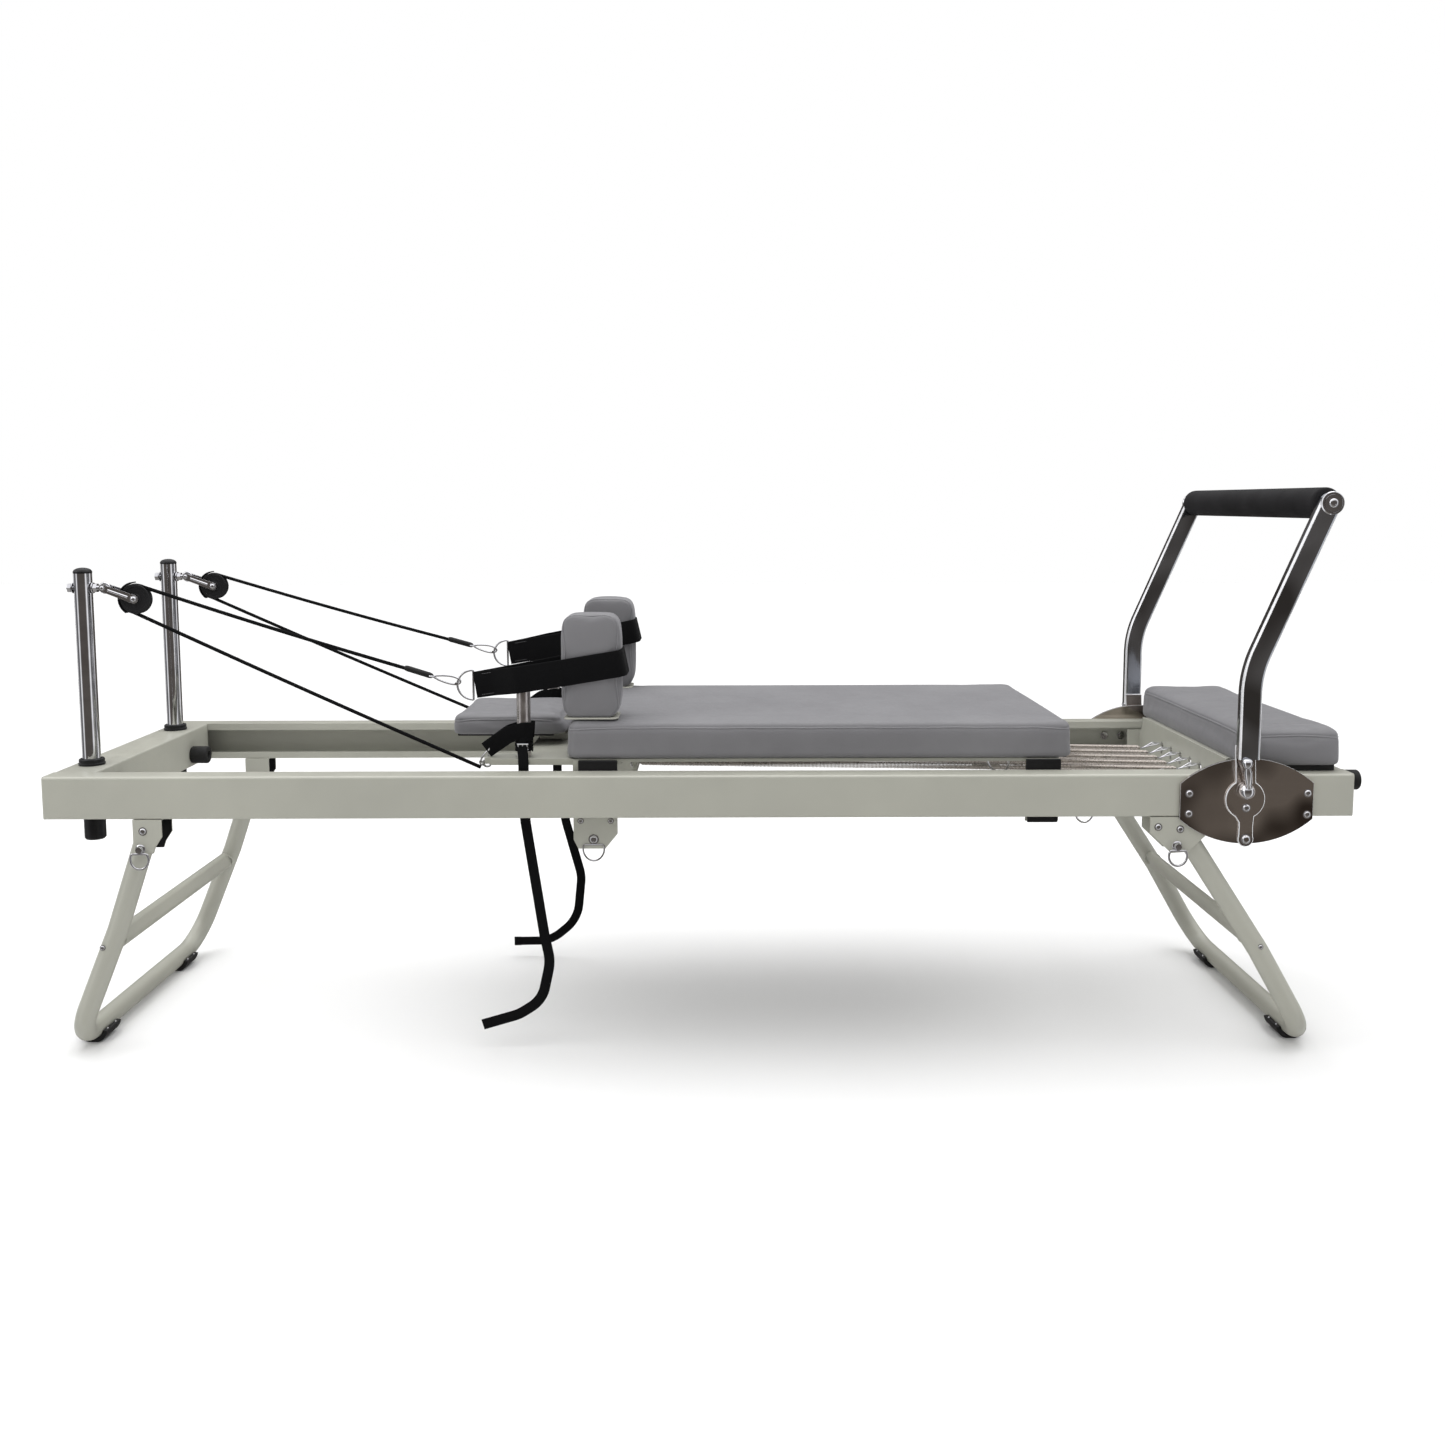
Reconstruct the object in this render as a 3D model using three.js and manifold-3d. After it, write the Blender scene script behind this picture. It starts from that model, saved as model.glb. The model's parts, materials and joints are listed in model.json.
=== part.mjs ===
// Folding pilates reformer: rail frame on two folding legs, sliding carriage on springs,
// tilting headrest, rope and pulley posts, and a hinged footbar.
// Millimetres, +Z up. X runs from the head end (-X, pulley posts) to the foot end (+X, footbar).
// Y = 0 is the centre plane, Z = 0 is the floor. "near" is the -Y side, "far" is the +Y side.
import * as THREE from 'three';
import { mergeVertices } from 'three/addons/utils/BufferGeometryUtils.js';
import Module from 'manifold-3d';

const wasm = await Module();
wasm.setup();

// ---------------------------------------------------------------- driving dimensions

const GAP = 0.3;                       // clearance left between separate pieces

const RAIL = { halfLength: 1150, halfWidth: 310, height: 76, top: 517, depth: 45, lip: 14, wall: 3, corner: 5 };
RAIL.bottom = RAIL.top - RAIL.height;
RAIL.inner = RAIL.halfWidth - RAIL.depth;
const CROSS_RAIL_WIDTH = 75;

const POST = {
  x: -1115, y: 192, radius: 16, bore: 14, bottom: 384, top: 869,
  cap: [[0, -14], [13.5, -14], [13.5, GAP], [16, GAP], [14.5, 5], [9, 8], [0, 9]],
};
const SLEEVE = { bore: 16.3, radius: 18.7, hole: 19, collarRadius: 23, collarHeight: 12, bottom: 379 };
const EYE = { x: -1076, z: 841, ringRadius: 8, wire: 2.8, shank: 4, nutRadius: 9, nutX: -1143 };
const PULLEY = { x: -1020, z: 821, radius: 27, groove: 20.5, halfWidth: 7.5, bore: 4.3, axle: 4 };
const ROPE = {
  radius: 3, wrap: 25, upperY: 204, lowerY: 218, lowX: -394, lowZ: 513, highX: -445, aboveRing: 3,
  sleeve: 5.5, sleeveLeft: -540, sleeveRight: -488, hook: 3.5,
};

const BUMPER = { radius: 18, length: 35, y: 175, z: 466 };
const END_FOOT = { radius: 18, length: 29, y: 262, z: 497 };

const LEG = {
  tube: 18, bore: 15, y: 287, stub: 9, bend: 62, crossbar: 14, footRadius: 27, footLength: 60, footY: 191,
  axisHeight: 25.5,
};
// bracket cheeks are outlines in X and Z, pin is where the spring pin goes through the outer cheek
const HEAD_LEG = {
  pivotX: -977, pivotZ: 418, kinkX: -1038, kinkZ: 238, baseX: -1125, barX: -1050, barZ: 212, pin: [-982, 388],
  cheek: [[-995, 440.7], [-995, 400], [-990, 380], [-960, 380], [-956, 392], [-944, 410], [-944, 440.7]],
};
const FOOT_LEG = {
  pivotX: 855, pivotZ: 418, kinkX: 1001, kinkZ: 193, baseX: 1096, barX: 990, barZ: 210, pin: [842, 389],
  cheek: [[794, 440.7], [794, 412], [832, 376], [862, 378], [895, 410], [905, 440.7]],
};
const BRACKET = { thickness: 3.5, plate: 1.8, pin: 6, pinHole: 4.6 };
const PULL_PIN = { tip: 4.2, shaft: 4, flange: 7, knob: 5.5, reach: 10, ring: 16, wire: 1.8, hang: 17 };

const OVAL_PLATE = { x: 960, halfLength: 117, endHalf: 32, apexHalf: 76, z: 470, thickness: 5 };
const FOOTBAR = {
  pivotX: 959, pivotZ: 403, pivotPin: 5, tail: 14, discX: 956, discZ: 474, disc: 35, plate: 3.5, plateTop: 570,
  armX: 953, armWidth: 37, armDepth: 22, armBottom: 547, wall: 2.5, bendStart: 640, kneeZ: 700, bend: 60,
  inner: 319, gripX: 1076, gripZ: 990, bar: 12.5, grip: 27, weepZ: 610, weep: 4,
};
const LEVER = {
  x: 955, z: 490, hub: [[0, 0], [12, 0], [12, 14], [9, 21], [0, 24]], stem: 4, ball: 7,
  from: [0, 17, 3], to: [-4, 31, 58],
};

const SPRING = { count: 5, pitch: 55, radius: 6.5, headX: -117, headZ: 503, footX: 915, footZ: 487, wire: 1.6 };
const SPRING_BAR = {
  x: 950, thickness: 4, top: 531, bottom: 446, halfWidth: 262, flange: 36, cornerCut: 26,
  keyhole: 8, slotHalf: 4, slotDepth: 17, tab: 26, tabBottom: 456, tabTop: 500,
};

const PAD = { left: -239, right: 670, halfWidth: 258, bottom: 536.3, top: 597, corner: 24 };
const FOOT_PAD = { left: 958, right: 1140, halfWidth: 292, bottom: 535, top: 596, corner: 22, boardLeft: 990 };
const HEADREST = {
  left: -470, right: -268, halfWidth: 118, bottom: 556, top: 598, corner: 22,
  hingeX: -262, hingeZ: 545, leafLeft: -310, leafInner: 59, leafOuter: 65, knuckle: 5, pin: 3, lugInner: 50,
};
const SHOULDER = {
  left: -250, right: -140, inner: 165, outer: 243, bottom: 607, top: 796, corner: 22, pinX: -195, pin: 11,
  pinTop: 700, pinPlay: 0.6,
};

// flat arms at the carriage's head end, and the sheet plates under its pad
const ARM = { left: -387, right: -140, top: 536, thickness: 11, inner: 190, outer: 250, nose: 14 };
const CHASSIS = { sheet: 6, crossArm: [-318, -240], crossPlate: [-130, -60], left: -150, springHolder: 150 };
const HANGER = {
  inner: 251, outer: 256, headLeft: -227, headRight: -148, headBottom: 373, holeX: -191, holeZ: 390, hole: 4.6,
  footLeft: 586, footRight: 645, footBottom: 422,
};
const WHEEL = {
  radius: 26, bore: 5.3, axle: 5, inner: 272, outer: 297, headX: -187, footX: 616, play: 0.4, round: 4,
};
const STRAP_POST = { x: -318, y: 222, radius: 12.5, top: 696 };
const LOOP = {
  ringX: -408, ringArc: 30, ringHalf: 27, wire: 2.6, height: 48, thickness: 4, right: -131,
  near: { ringZ: 664, slope: 0.163 },
  far: { ringZ: 677, slope: 0.185 },
};

// the adjuster webbing's outline beside the strap post, and the hanging tails' centre lines, in X and Z
const ADJUSTER = {
  outline: [[-396, 542], [-392, 540], [-300, 546], [-304, 604], [-334, 604], [-392, 552]],
  inner: 206, outer: 239,
};
const TAIL = {
  width: 20, thickness: 2.4, y: 257,
  near: [[-313, 425], [-282, 212], [-272, 165], [-288, 92], [-330, 66], [-396, 46]],
  far: [[-316, 400], [-299, 300], [-266, 180], [-276, 82], [-335, 34], [-415, 32]],
};

// the origin sits under the middle of the whole machine, which reaches from the head leg's feet to the end feet
const BOX_CENTRE_X = (RAIL.halfLength + END_FOOT.length + HEAD_LEG.baseX - LEG.footRadius) / 2;

// ---------------------------------------------------------------- colours

const paint = () => new THREE.MeshStandardMaterial({ color: 0xa9a99f, roughness: 0.45, metalness: 0.2 });
const leather = () => new THREE.MeshStandardMaterial({ color: 0x7c7a7d, roughness: 0.6, metalness: 0 });
const webbing = () => new THREE.MeshStandardMaterial({ color: 0x101012, roughness: 0.9, metalness: 0 });
const rubber = () => new THREE.MeshStandardMaterial({ color: 0x161616, roughness: 0.7, metalness: 0 });
const chrome = () => new THREE.MeshStandardMaterial({ color: 0x9a9a9c, roughness: 0.12, metalness: 1 });
const darkChrome = () => new THREE.MeshStandardMaterial({ color: 0x3a3433, roughness: 0.18, metalness: 1 });

// ---------------------------------------------------------------- solid helpers

function solidOf(geometry) {
  const bare = new THREE.BufferGeometry();
  bare.setAttribute('position', geometry.getAttribute('position'));
  if (geometry.index) bare.setIndex(geometry.index);
  const merged = mergeVertices(bare, 1e-3);
  return new wasm.Manifold(new wasm.Mesh({
    numProp: 3,
    vertProperties: new Float32Array(merged.getAttribute('position').array),
    triVerts: new Uint32Array(merged.index.array),
  }));
}

function geometryOf(solid) {
  const mesh = solid.getMesh();
  const geometry = new THREE.BufferGeometry();
  geometry.setAttribute('position', new THREE.BufferAttribute(new Float32Array(mesh.vertProperties), 3));
  geometry.setIndex(new THREE.BufferAttribute(new Uint32Array(mesh.triVerts), 1));
  geometry.computeVertexNormals();
  return geometry;
}

// A flat outline extruded along its own normal.
function extruded(shape, depth, curveSegments = 1) {
  return new THREE.ExtrudeGeometry(shape, { depth, bevelEnabled: false, curveSegments });
}

// A profile of [radius, height] pairs turned about Y.
function turned(profile, sides) {
  return new THREE.LatheGeometry(profile.map(([radius, height]) => new THREE.Vector2(radius, height)), sides);
}

function union(...solids) {
  return solids.reduce((whole, piece) => whole.add(piece));
}

// A box between two corners, in any order.
function block(x0, x1, y0, y1, z0, z1) {
  const geometry = new THREE.BoxGeometry(Math.abs(x1 - x0), Math.abs(y1 - y0), Math.abs(z1 - z0));
  geometry.translate((x0 + x1) / 2, (y0 + y1) / 2, (z0 + z1) / 2);
  return solidOf(geometry);
}

// A round bar or disc along one axis, from a to b, centred on the other two coordinates.
function bar(axis, radius, a, b, centre, sides = 16) {
  const geometry = new THREE.CylinderGeometry(radius, radius, Math.abs(b - a), sides);
  if (axis === 'x') geometry.rotateZ(Math.PI / 2);
  if (axis === 'z') geometry.rotateX(Math.PI / 2);
  const middle = (a + b) / 2;
  const place = { x: [middle, ...centre], y: [centre[0], middle, centre[1]], z: [...centre, middle] }[axis];
  geometry.translate(...place);
  return solidOf(geometry);
}

// A flat outline drawn in X and Z, extruded along Y from y0 to y1.
function plateXZ(shape, y0, y1, segments = 6) {
  const low = Math.min(y0, y1);
  const geometry = extruded(shape, Math.abs(y1 - y0), segments);
  geometry.rotateX(Math.PI / 2);
  geometry.translate(0, low + Math.abs(y1 - y0), 0);
  return solidOf(geometry);
}

// A flat outline drawn in X and Y, extruded upwards from z0 to z1.
function plateXY(shape, z0, z1, segments = 6) {
  const geometry = extruded(shape, z1 - z0, segments);
  geometry.translate(0, 0, z0);
  return solidOf(geometry);
}

// A closed outline with its corners in counter-clockwise order.
function polygon(points) {
  const corners = points.map(([a, b]) => new THREE.Vector2(a, b));
  if (THREE.ShapeUtils.isClockWise(corners)) corners.reverse();
  return new THREE.Shape(corners);
}

function roundedRectangle(x0, x1, y0, y1, radius) {
  const shape = new THREE.Shape();
  shape.moveTo(x0 + radius, y0);
  shape.lineTo(x1 - radius, y0);
  shape.absarc(x1 - radius, y0 + radius, radius, -Math.PI / 2, 0);
  shape.lineTo(x1, y1 - radius);
  shape.absarc(x1 - radius, y1 - radius, radius, 0, Math.PI / 2);
  shape.lineTo(x0 + radius, y1);
  shape.absarc(x0 + radius, y1 - radius, radius, Math.PI / 2, Math.PI);
  shape.lineTo(x0, y0 + radius);
  shape.absarc(x0 + radius, y0 + radius, radius, Math.PI, 1.5 * Math.PI);
  return shape;
}

// Points along straight runs joined by bends of the given size.
function bentPoints(points, bend, segments = 5) {
  const corners = points.map((p) => new THREE.Vector3(...p));
  const result = [corners[0]];
  for (let i = 1; i < corners.length - 1; i += 1) {
    const before = corners[i - 1].clone().sub(corners[i]);
    const after = corners[i + 1].clone().sub(corners[i]);
    const cut = Math.min(bend, before.length() / 2.2, after.length() / 2.2);
    const start = corners[i].clone().addScaledVector(before.normalize(), cut);
    const end = corners[i].clone().addScaledVector(after.normalize(), cut);
    result.push(...new THREE.QuadraticBezierCurve3(start, corners[i], end).getPoints(segments));
  }
  result.push(corners[corners.length - 1]);
  return result;
}

// A path whose steps fall exactly on its points, so straight runs stay one step long.
class PointPath extends THREE.Curve {
  constructor(points) {
    super();
    this.points = points;
  }

  getPoint(t) {
    const along = t * (this.points.length - 1);
    const i = Math.min(Math.floor(along), this.points.length - 2);
    return this.points[i].clone().lerp(this.points[i + 1], along - i);
  }

  getPointAt(u) {
    return this.getPoint(u);
  }

  getTangentAt(u) {
    const last = this.points.length - 1;
    const i = Math.round(u * last);
    const unit = (a, b) => this.points[b].clone().sub(this.points[a]).normalize();
    if (i === 0) return unit(0, 1);
    if (i === last) return unit(last - 1, last);
    return unit(i - 1, i).add(unit(i, i + 1)).normalize();
  }
}

function circle(radius, sides) {
  const points = [];
  for (let i = 0; i < sides; i += 1) {
    const turn = (2 * Math.PI * i) / sides;
    points.push([radius * Math.cos(turn), radius * Math.sin(turn)]);
  }
  return polygon(points);
}

function tube(points, radius, sides = 8) {
  return solidOf(new THREE.ExtrudeGeometry(circle(radius, sides), {
    steps: points.length - 1,
    extrudePath: new PointPath(points),
    bevelEnabled: false,
  }));
}

function piece(name, solid, material, parent, position = [0, 0, 0]) {
  const mesh = new THREE.Mesh(geometryOf(solid), material);
  mesh.name = name;
  mesh.position.set(...position);
  parent.add(mesh);
  return mesh;
}

const SIDES = [['near', -1], ['far', 1]];

// ---------------------------------------------------------------- frame

// Lipped channel, open towards the centre plane, closed by a plate at each end.
function railSolid(side) {
  const { halfLength, halfWidth, inner, top, bottom, wall, lip, corner: r } = RAIL;
  const outline = new THREE.Shape();
  outline.moveTo(inner, bottom);
  outline.lineTo(halfWidth - r, bottom);
  outline.absarc(halfWidth - r, bottom + r, r, -Math.PI / 2, 0);
  outline.lineTo(halfWidth, top - r);
  outline.absarc(halfWidth - r, top - r, r, 0, Math.PI / 2);
  outline.lineTo(inner, top);
  outline.lineTo(inner, top - lip);
  outline.lineTo(inner + wall, top - lip);
  outline.lineTo(inner + wall, top - wall);
  outline.lineTo(halfWidth - wall, top - wall);
  outline.lineTo(halfWidth - wall, bottom + wall);
  outline.lineTo(inner + wall, bottom + wall);
  outline.lineTo(inner + wall, bottom + lip);
  outline.lineTo(inner, bottom + lip);
  const geometry = extruded(outline, 2 * halfLength, 3);
  geometry.rotateX(Math.PI / 2);
  geometry.rotateZ(Math.PI / 2);
  geometry.translate(-halfLength, 0, 0);
  if (side < 0) geometry.rotateZ(Math.PI);
  const channel = solidOf(geometry);
  const endPlate = (x0, x1) => block(x0, x1, side * inner, side * (halfWidth - 1.5), bottom + 0.5, top - 0.5);
  return union(channel, endPlate(-halfLength, -halfLength + wall), endPlate(halfLength - wall, halfLength));
}

// Rectangular tube between the two rails.
function crossRailSolid(x0, x1) {
  const { inner, top, bottom, wall } = RAIL;
  const outside = roundedRectangle(x0, x1, bottom, top, 4);
  const inside = roundedRectangle(x0 + wall, x1 - wall, bottom + wall, top - wall, 2);
  const reach = inner - GAP;
  return plateXZ(outside, -reach, reach, 2).subtract(plateXZ(inside, -reach - 1, reach + 1, 2));
}

function headCrossRail() {
  let solid = crossRailSolid(-RAIL.halfLength, -RAIL.halfLength + CROSS_RAIL_WIDTH);
  for (const [, side] of SIDES) {
    solid = solid.subtract(bar('z', SLEEVE.hole, RAIL.bottom - 5, RAIL.top + 5, [POST.x, side * POST.y], 20));
  }
  return solid;
}

// Folded plate across the frame: keyholes for the spring hooks, top flange under the foot pad,
// upper corners cut back around the rails.
function springBar() {
  const { x, thickness, top, bottom, halfWidth, flange, cornerCut, keyhole, slotHalf, slotDepth } = SPRING_BAR;
  const { tab, tabBottom, tabTop } = SPRING_BAR;
  let solid = union(
    block(x, x + thickness, -halfWidth, halfWidth, bottom, top),
    block(x, x + flange, -halfWidth + 30, halfWidth - 30, top - thickness, top),
  );
  for (const [, side] of SIDES) {
    const corner = new THREE.Shape();
    corner.absarc(side * (halfWidth + 2), top - 8, cornerCut, 0, 2 * Math.PI);
    const cutter = extruded(corner, 20, 8);
    cutter.rotateX(Math.PI / 2);
    cutter.rotateZ(Math.PI / 2);
    cutter.translate(x - 5, 0, 0);
    solid = solid.subtract(solidOf(cutter));
    const [inner, outer] = [side * (halfWidth - thickness), side * halfWidth];
    solid = solid.add(block(x - tab, x + thickness, inner, outer, tabBottom, tabTop));
  }
  const [front, back] = [x - 5, x + thickness + 5];
  const centre = SPRING.footZ + 5;
  for (const y of springRows()) {
    solid = solid.subtract(bar('x', keyhole, front, back, [y, centre], 14));
    solid = solid.subtract(block(front, back, y - slotHalf, y + slotHalf, centre - slotDepth, centre));
  }
  return solid;
}

function springRows() {
  return Array.from({ length: SPRING.count }, (_, i) => (i - (SPRING.count - 1) / 2) * SPRING.pitch);
}

// Cushion with the board it is stapled to; the board rests on the rails.
function footPad() {
  const { left, right, halfWidth, bottom, top, corner, boardLeft } = FOOT_PAD;
  const reach = halfWidth - 10;
  return plateXY(roundedRectangle(left, right, -halfWidth, halfWidth, corner), bottom, top, 4)
    .add(block(boardLeft, right - 12, -reach, reach, RAIL.top + GAP, bottom + 1));
}

function post(side) {
  const y = side * POST.y;
  return bar('z', POST.radius, POST.bottom, POST.top, [POST.x, y], 18)
    .subtract(bar('z', POST.bore, POST.bottom - 1, POST.top + 1, [POST.x, y], 12))
    .subtract(bar('x', EYE.shank + GAP, POST.x - 30, POST.x + 30, [y, EYE.z], 12));
}

function postCap(side) {
  const geometry = turned(POST.cap, 18);
  geometry.rotateX(Math.PI / 2);
  geometry.translate(POST.x, side * POST.y, POST.top);
  return solidOf(geometry);
}

// Collar on the cross rail, liner through it and closed cup below it.
function postSleeve(side) {
  const centre = [POST.x, side * POST.y];
  return union(
    bar('z', SLEEVE.radius, SLEEVE.bottom, RAIL.top + 2, centre, 18),
    bar('z', SLEEVE.collarRadius, RAIL.top + GAP, RAIL.top + SLEEVE.collarHeight, centre, 18),
  ).subtract(bar('z', SLEEVE.bore, POST.bottom - GAP, RAIL.top + 20, centre, 18));
}

function eyeBolt(side) {
  const y = side * POST.y;
  const ring = new THREE.TorusGeometry(EYE.ringRadius, EYE.wire, 5, 12);
  ring.rotateX(Math.PI / 2);
  ring.translate(EYE.x, y, EYE.z);
  return union(
    solidOf(ring),
    bar('x', EYE.shank, EYE.nutX, EYE.x - EYE.ringRadius, [y, EYE.z], 8),
    bar('x', EYE.nutRadius, EYE.nutX, POST.x - POST.radius - 1, [y, EYE.z], 6),
    bar('x', EYE.nutRadius - 1, POST.x + POST.radius + 1, POST.x + POST.radius + 7, [y, EYE.z], 6),
  );
}

// Two cheeks under the rail, joined by a top plate and by the leg's pivot pin.
function legBracket(side, leg) {
  const { thickness, plate, pin, pinHole } = BRACKET;
  const outer = side * RAIL.halfWidth;
  const inner = side * (RAIL.inner - thickness);
  const top = RAIL.bottom - GAP;
  const xs = leg.cheek.map(([x]) => x);
  const hole = bar('y', pinHole, outer + side * 5, outer - side * 10, leg.pin, 12);
  return union(
    plateXZ(polygon(leg.cheek), outer, outer - side * thickness).subtract(hole),
    plateXZ(polygon(leg.cheek), inner, inner + side * thickness),
    block(Math.min(...xs), Math.max(...xs), outer - side, inner + side, top - plate, top),
    bar('y', pin, outer - side, inner + side, [leg.pivotX, leg.pivotZ], 14),
  );
}

// Lens-shaped cheek plate on the rail's outer face, with the footbar's pivot pin.
function ovalPlate(side) {
  const { x, z, halfLength, endHalf, apexHalf, thickness } = OVAL_PLATE;
  const sag = apexHalf - endHalf;
  const radius = (halfLength ** 2 + sag ** 2) / (2 * sag);
  const sweepAngle = Math.asin(halfLength / radius);
  const shape = new THREE.Shape();
  shape.absarc(x, z + apexHalf - radius, radius, Math.PI / 2 - sweepAngle, Math.PI / 2 + sweepAngle);
  shape.absarc(x, z - apexHalf + radius, radius, -Math.PI / 2 - sweepAngle, -Math.PI / 2 + sweepAngle);
  const face = side * (RAIL.halfWidth + GAP);
  const pinEnd = side * (FOOTBAR.inner + 4);
  return plateXZ(shape, face, face + side * thickness, 12)
    .add(bar('y', FOOTBAR.pivotPin, face + side * 2, pinEnd, [FOOTBAR.pivotX, FOOTBAR.pivotZ], 16));
}

// ---------------------------------------------------------------- legs

// U-shaped tube with a crossbar; its open upper ends turn on the bracket pins.
function legFrame(leg) {
  const { tube: radius, bore, y, axisHeight, bend, crossbar } = LEG;
  const up = new THREE.Vector3(leg.pivotX - leg.kinkX, 0, leg.pivotZ - leg.kinkZ).normalize();
  const end = (length, side) => [leg.pivotX + up.x * length, side * y, leg.pivotZ + up.z * length];
  const outline = (length) => [
    end(length, -1), [leg.kinkX, -y, leg.kinkZ], [leg.baseX, -y, axisHeight],
    [leg.baseX, y, axisHeight], [leg.kinkX, y, leg.kinkZ], end(length, 1),
  ];
  const bores = [-y, y].map((middle) => (
    bar('y', BRACKET.pin + GAP, middle - 30, middle + 30, [leg.pivotX, leg.pivotZ], 14)
  ));
  return tube(bentPoints(outline(LEG.stub), bend, 4), radius, 12)
    .subtract(tube(bentPoints(outline(LEG.stub + 5), bend, 4), bore, 8))
    .add(bar('y', crossbar, -y + bore, y - bore, [leg.barX, leg.barZ], 12))
    .subtract(union(...bores));
}

// Half sleeve of rubber around the underside of the floor tube, flat on the floor.
function legFoot() {
  const { tube: radius, footRadius, footLength, axisHeight } = LEG;
  const half = footLength / 2;
  return bar('y', footRadius, -half, half, [0, axisHeight], 20)
    .subtract(bar('y', radius + GAP, -half - 1, half + 1, [0, axisHeight], 20))
    .subtract(block(-50, 50, -half - 1, half + 1, axisHeight + 4, axisHeight + 60))
    .subtract(block(-50, 50, -half - 1, half + 1, -60, 0));
}

// Spring pin with its knob and pull ring; the tip faces +Y, and the ring hangs from the knob.
function pullPin(side) {
  const { tip, shaft, flange, knob, reach, wire, hang } = PULL_PIN;
  const ring = new THREE.TorusGeometry(PULL_PIN.ring, wire, 5, 12);
  ring.rotateX(Math.PI / 2);
  ring.scale(1, 1, 1.1);
  ring.translate(0, side * flange, -hang);
  return union(
    bar('y', shaft, -side * tip, side * reach, [0, 0], 8),
    bar('y', flange, side, side * shaft, [0, 0], 10),
    bar('y', knob, side * shaft, side * reach, [0, 0], 10),
    solidOf(ring),
  );
}

// ---------------------------------------------------------------- footbar

// Outline of one arm: leaning upper run, bend, upright lower run, rounded top end.
function armShape(halfWidth, bottom) {
  const { armX, bendStart, kneeZ, bend, gripX, gripZ } = FOOTBAR;
  const knee = new THREE.Vector2(armX, kneeZ);
  const lean = new THREE.Vector2(gripX - armX, gripZ - kneeZ).normalize();
  const start = new THREE.Vector2(armX, bendStart);
  const turn = new THREE.QuadraticBezierCurve(start, knee, knee.clone().addScaledVector(lean, bend));
  const spine = [new THREE.Vector2(armX, bottom), ...turn.getPoints(6), new THREE.Vector2(gripX, gripZ)];
  const left = [];
  const right = [];
  spine.forEach((p, i) => {
    const a = spine[Math.max(i - 1, 0)];
    const b = spine[Math.min(i + 1, spine.length - 1)];
    const along = b.clone().sub(a).normalize();
    left.push([p.x - along.y * halfWidth, p.y + along.x * halfWidth]);
    right.push([p.x + along.y * halfWidth, p.y - along.x * halfWidth]);
  });
  const leanAngle = Math.atan2(lean.y, lean.x);
  const crown = [];
  for (let i = 1; i < 8; i += 1) {
    const angle = leanAngle - Math.PI / 2 + (Math.PI * i) / 8;
    crown.push([gripX + halfWidth * Math.cos(angle), gripZ + halfWidth * Math.sin(angle)]);
  }
  return polygon([...right, ...crown, ...left.reverse()]);
}

// Disc, neck and tail in one plate: the tail turns on the oval plate's pin.
function keyholePlate(side) {
  const { pivotX, pivotZ, pivotPin, tail, discX, discZ, disc, plate, plateTop } = FOOTBAR;
  const { armX, armWidth, inner } = FOOTBAR;
  const y0 = side * inner;
  const y1 = side * (inner - plate);
  return union(
    bar('y', disc, y0, y1, [discX, discZ], 28),
    bar('y', tail, y0, y1, [pivotX, pivotZ], 16),
    block(pivotX - tail + 1, pivotX + tail - 1, y0, y1, pivotZ, discZ),
    block(armX - armWidth / 2, armX + armWidth / 2, y0, y1, discZ, plateTop),
  ).subtract(bar('y', pivotPin + GAP, y0 + side * 5, y1 - side * 5, [pivotX, pivotZ], 16));
}

function footbarFrame() {
  const { inner, armX, armDepth, armWidth, armBottom, wall, gripX, gripZ, bar: radius, weep, weepZ } = FOOTBAR;
  const solids = [bar('y', radius, -inner - 5, inner + 5, [gripX, gripZ], 20)];
  for (const [, side] of SIDES) {
    const y0 = side * (inner - 0.5);
    const y1 = side * (inner + armDepth);
    const hole = bar('y', weep, side * (inner - 2), side * (inner + 6), [armX, weepZ], 8);
    const inside = armShape(armWidth / 2 - wall, armBottom + 4);
    const hollow = plateXZ(inside, side * (inner + wall), side * (inner + armDepth - wall));
    solids.push(plateXZ(armShape(armWidth / 2, armBottom), y0, y1).subtract(hollow).subtract(hole));
    solids.push(keyholePlate(side));
  }
  return union(...solids);
}

function footbarGrip() {
  const { gripX, gripZ, grip, bar: radius, inner } = FOOTBAR;
  const reach = inner - 1;
  return bar('y', grip, -reach, reach, [gripX, gripZ], 24)
    .subtract(bar('y', radius + GAP, -reach - 1, reach + 1, [gripX, gripZ], 20));
}

// Domed hub on the disc with a ball-ended handle that points up.
function lockLever(side) {
  const hub = turned(LEVER.hub, 14);
  if (side < 0) hub.rotateX(Math.PI);
  const [from, to] = [LEVER.from, LEVER.to].map(([x, y, z]) => new THREE.Vector3(x, side * y, z));
  const ball = new THREE.SphereGeometry(LEVER.ball, 10, 6);
  ball.translate(to.x, to.y, to.z);
  return union(solidOf(hub), tube([from, to], LEVER.stem, 10), solidOf(ball));
}

// ---------------------------------------------------------------- carriage

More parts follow.
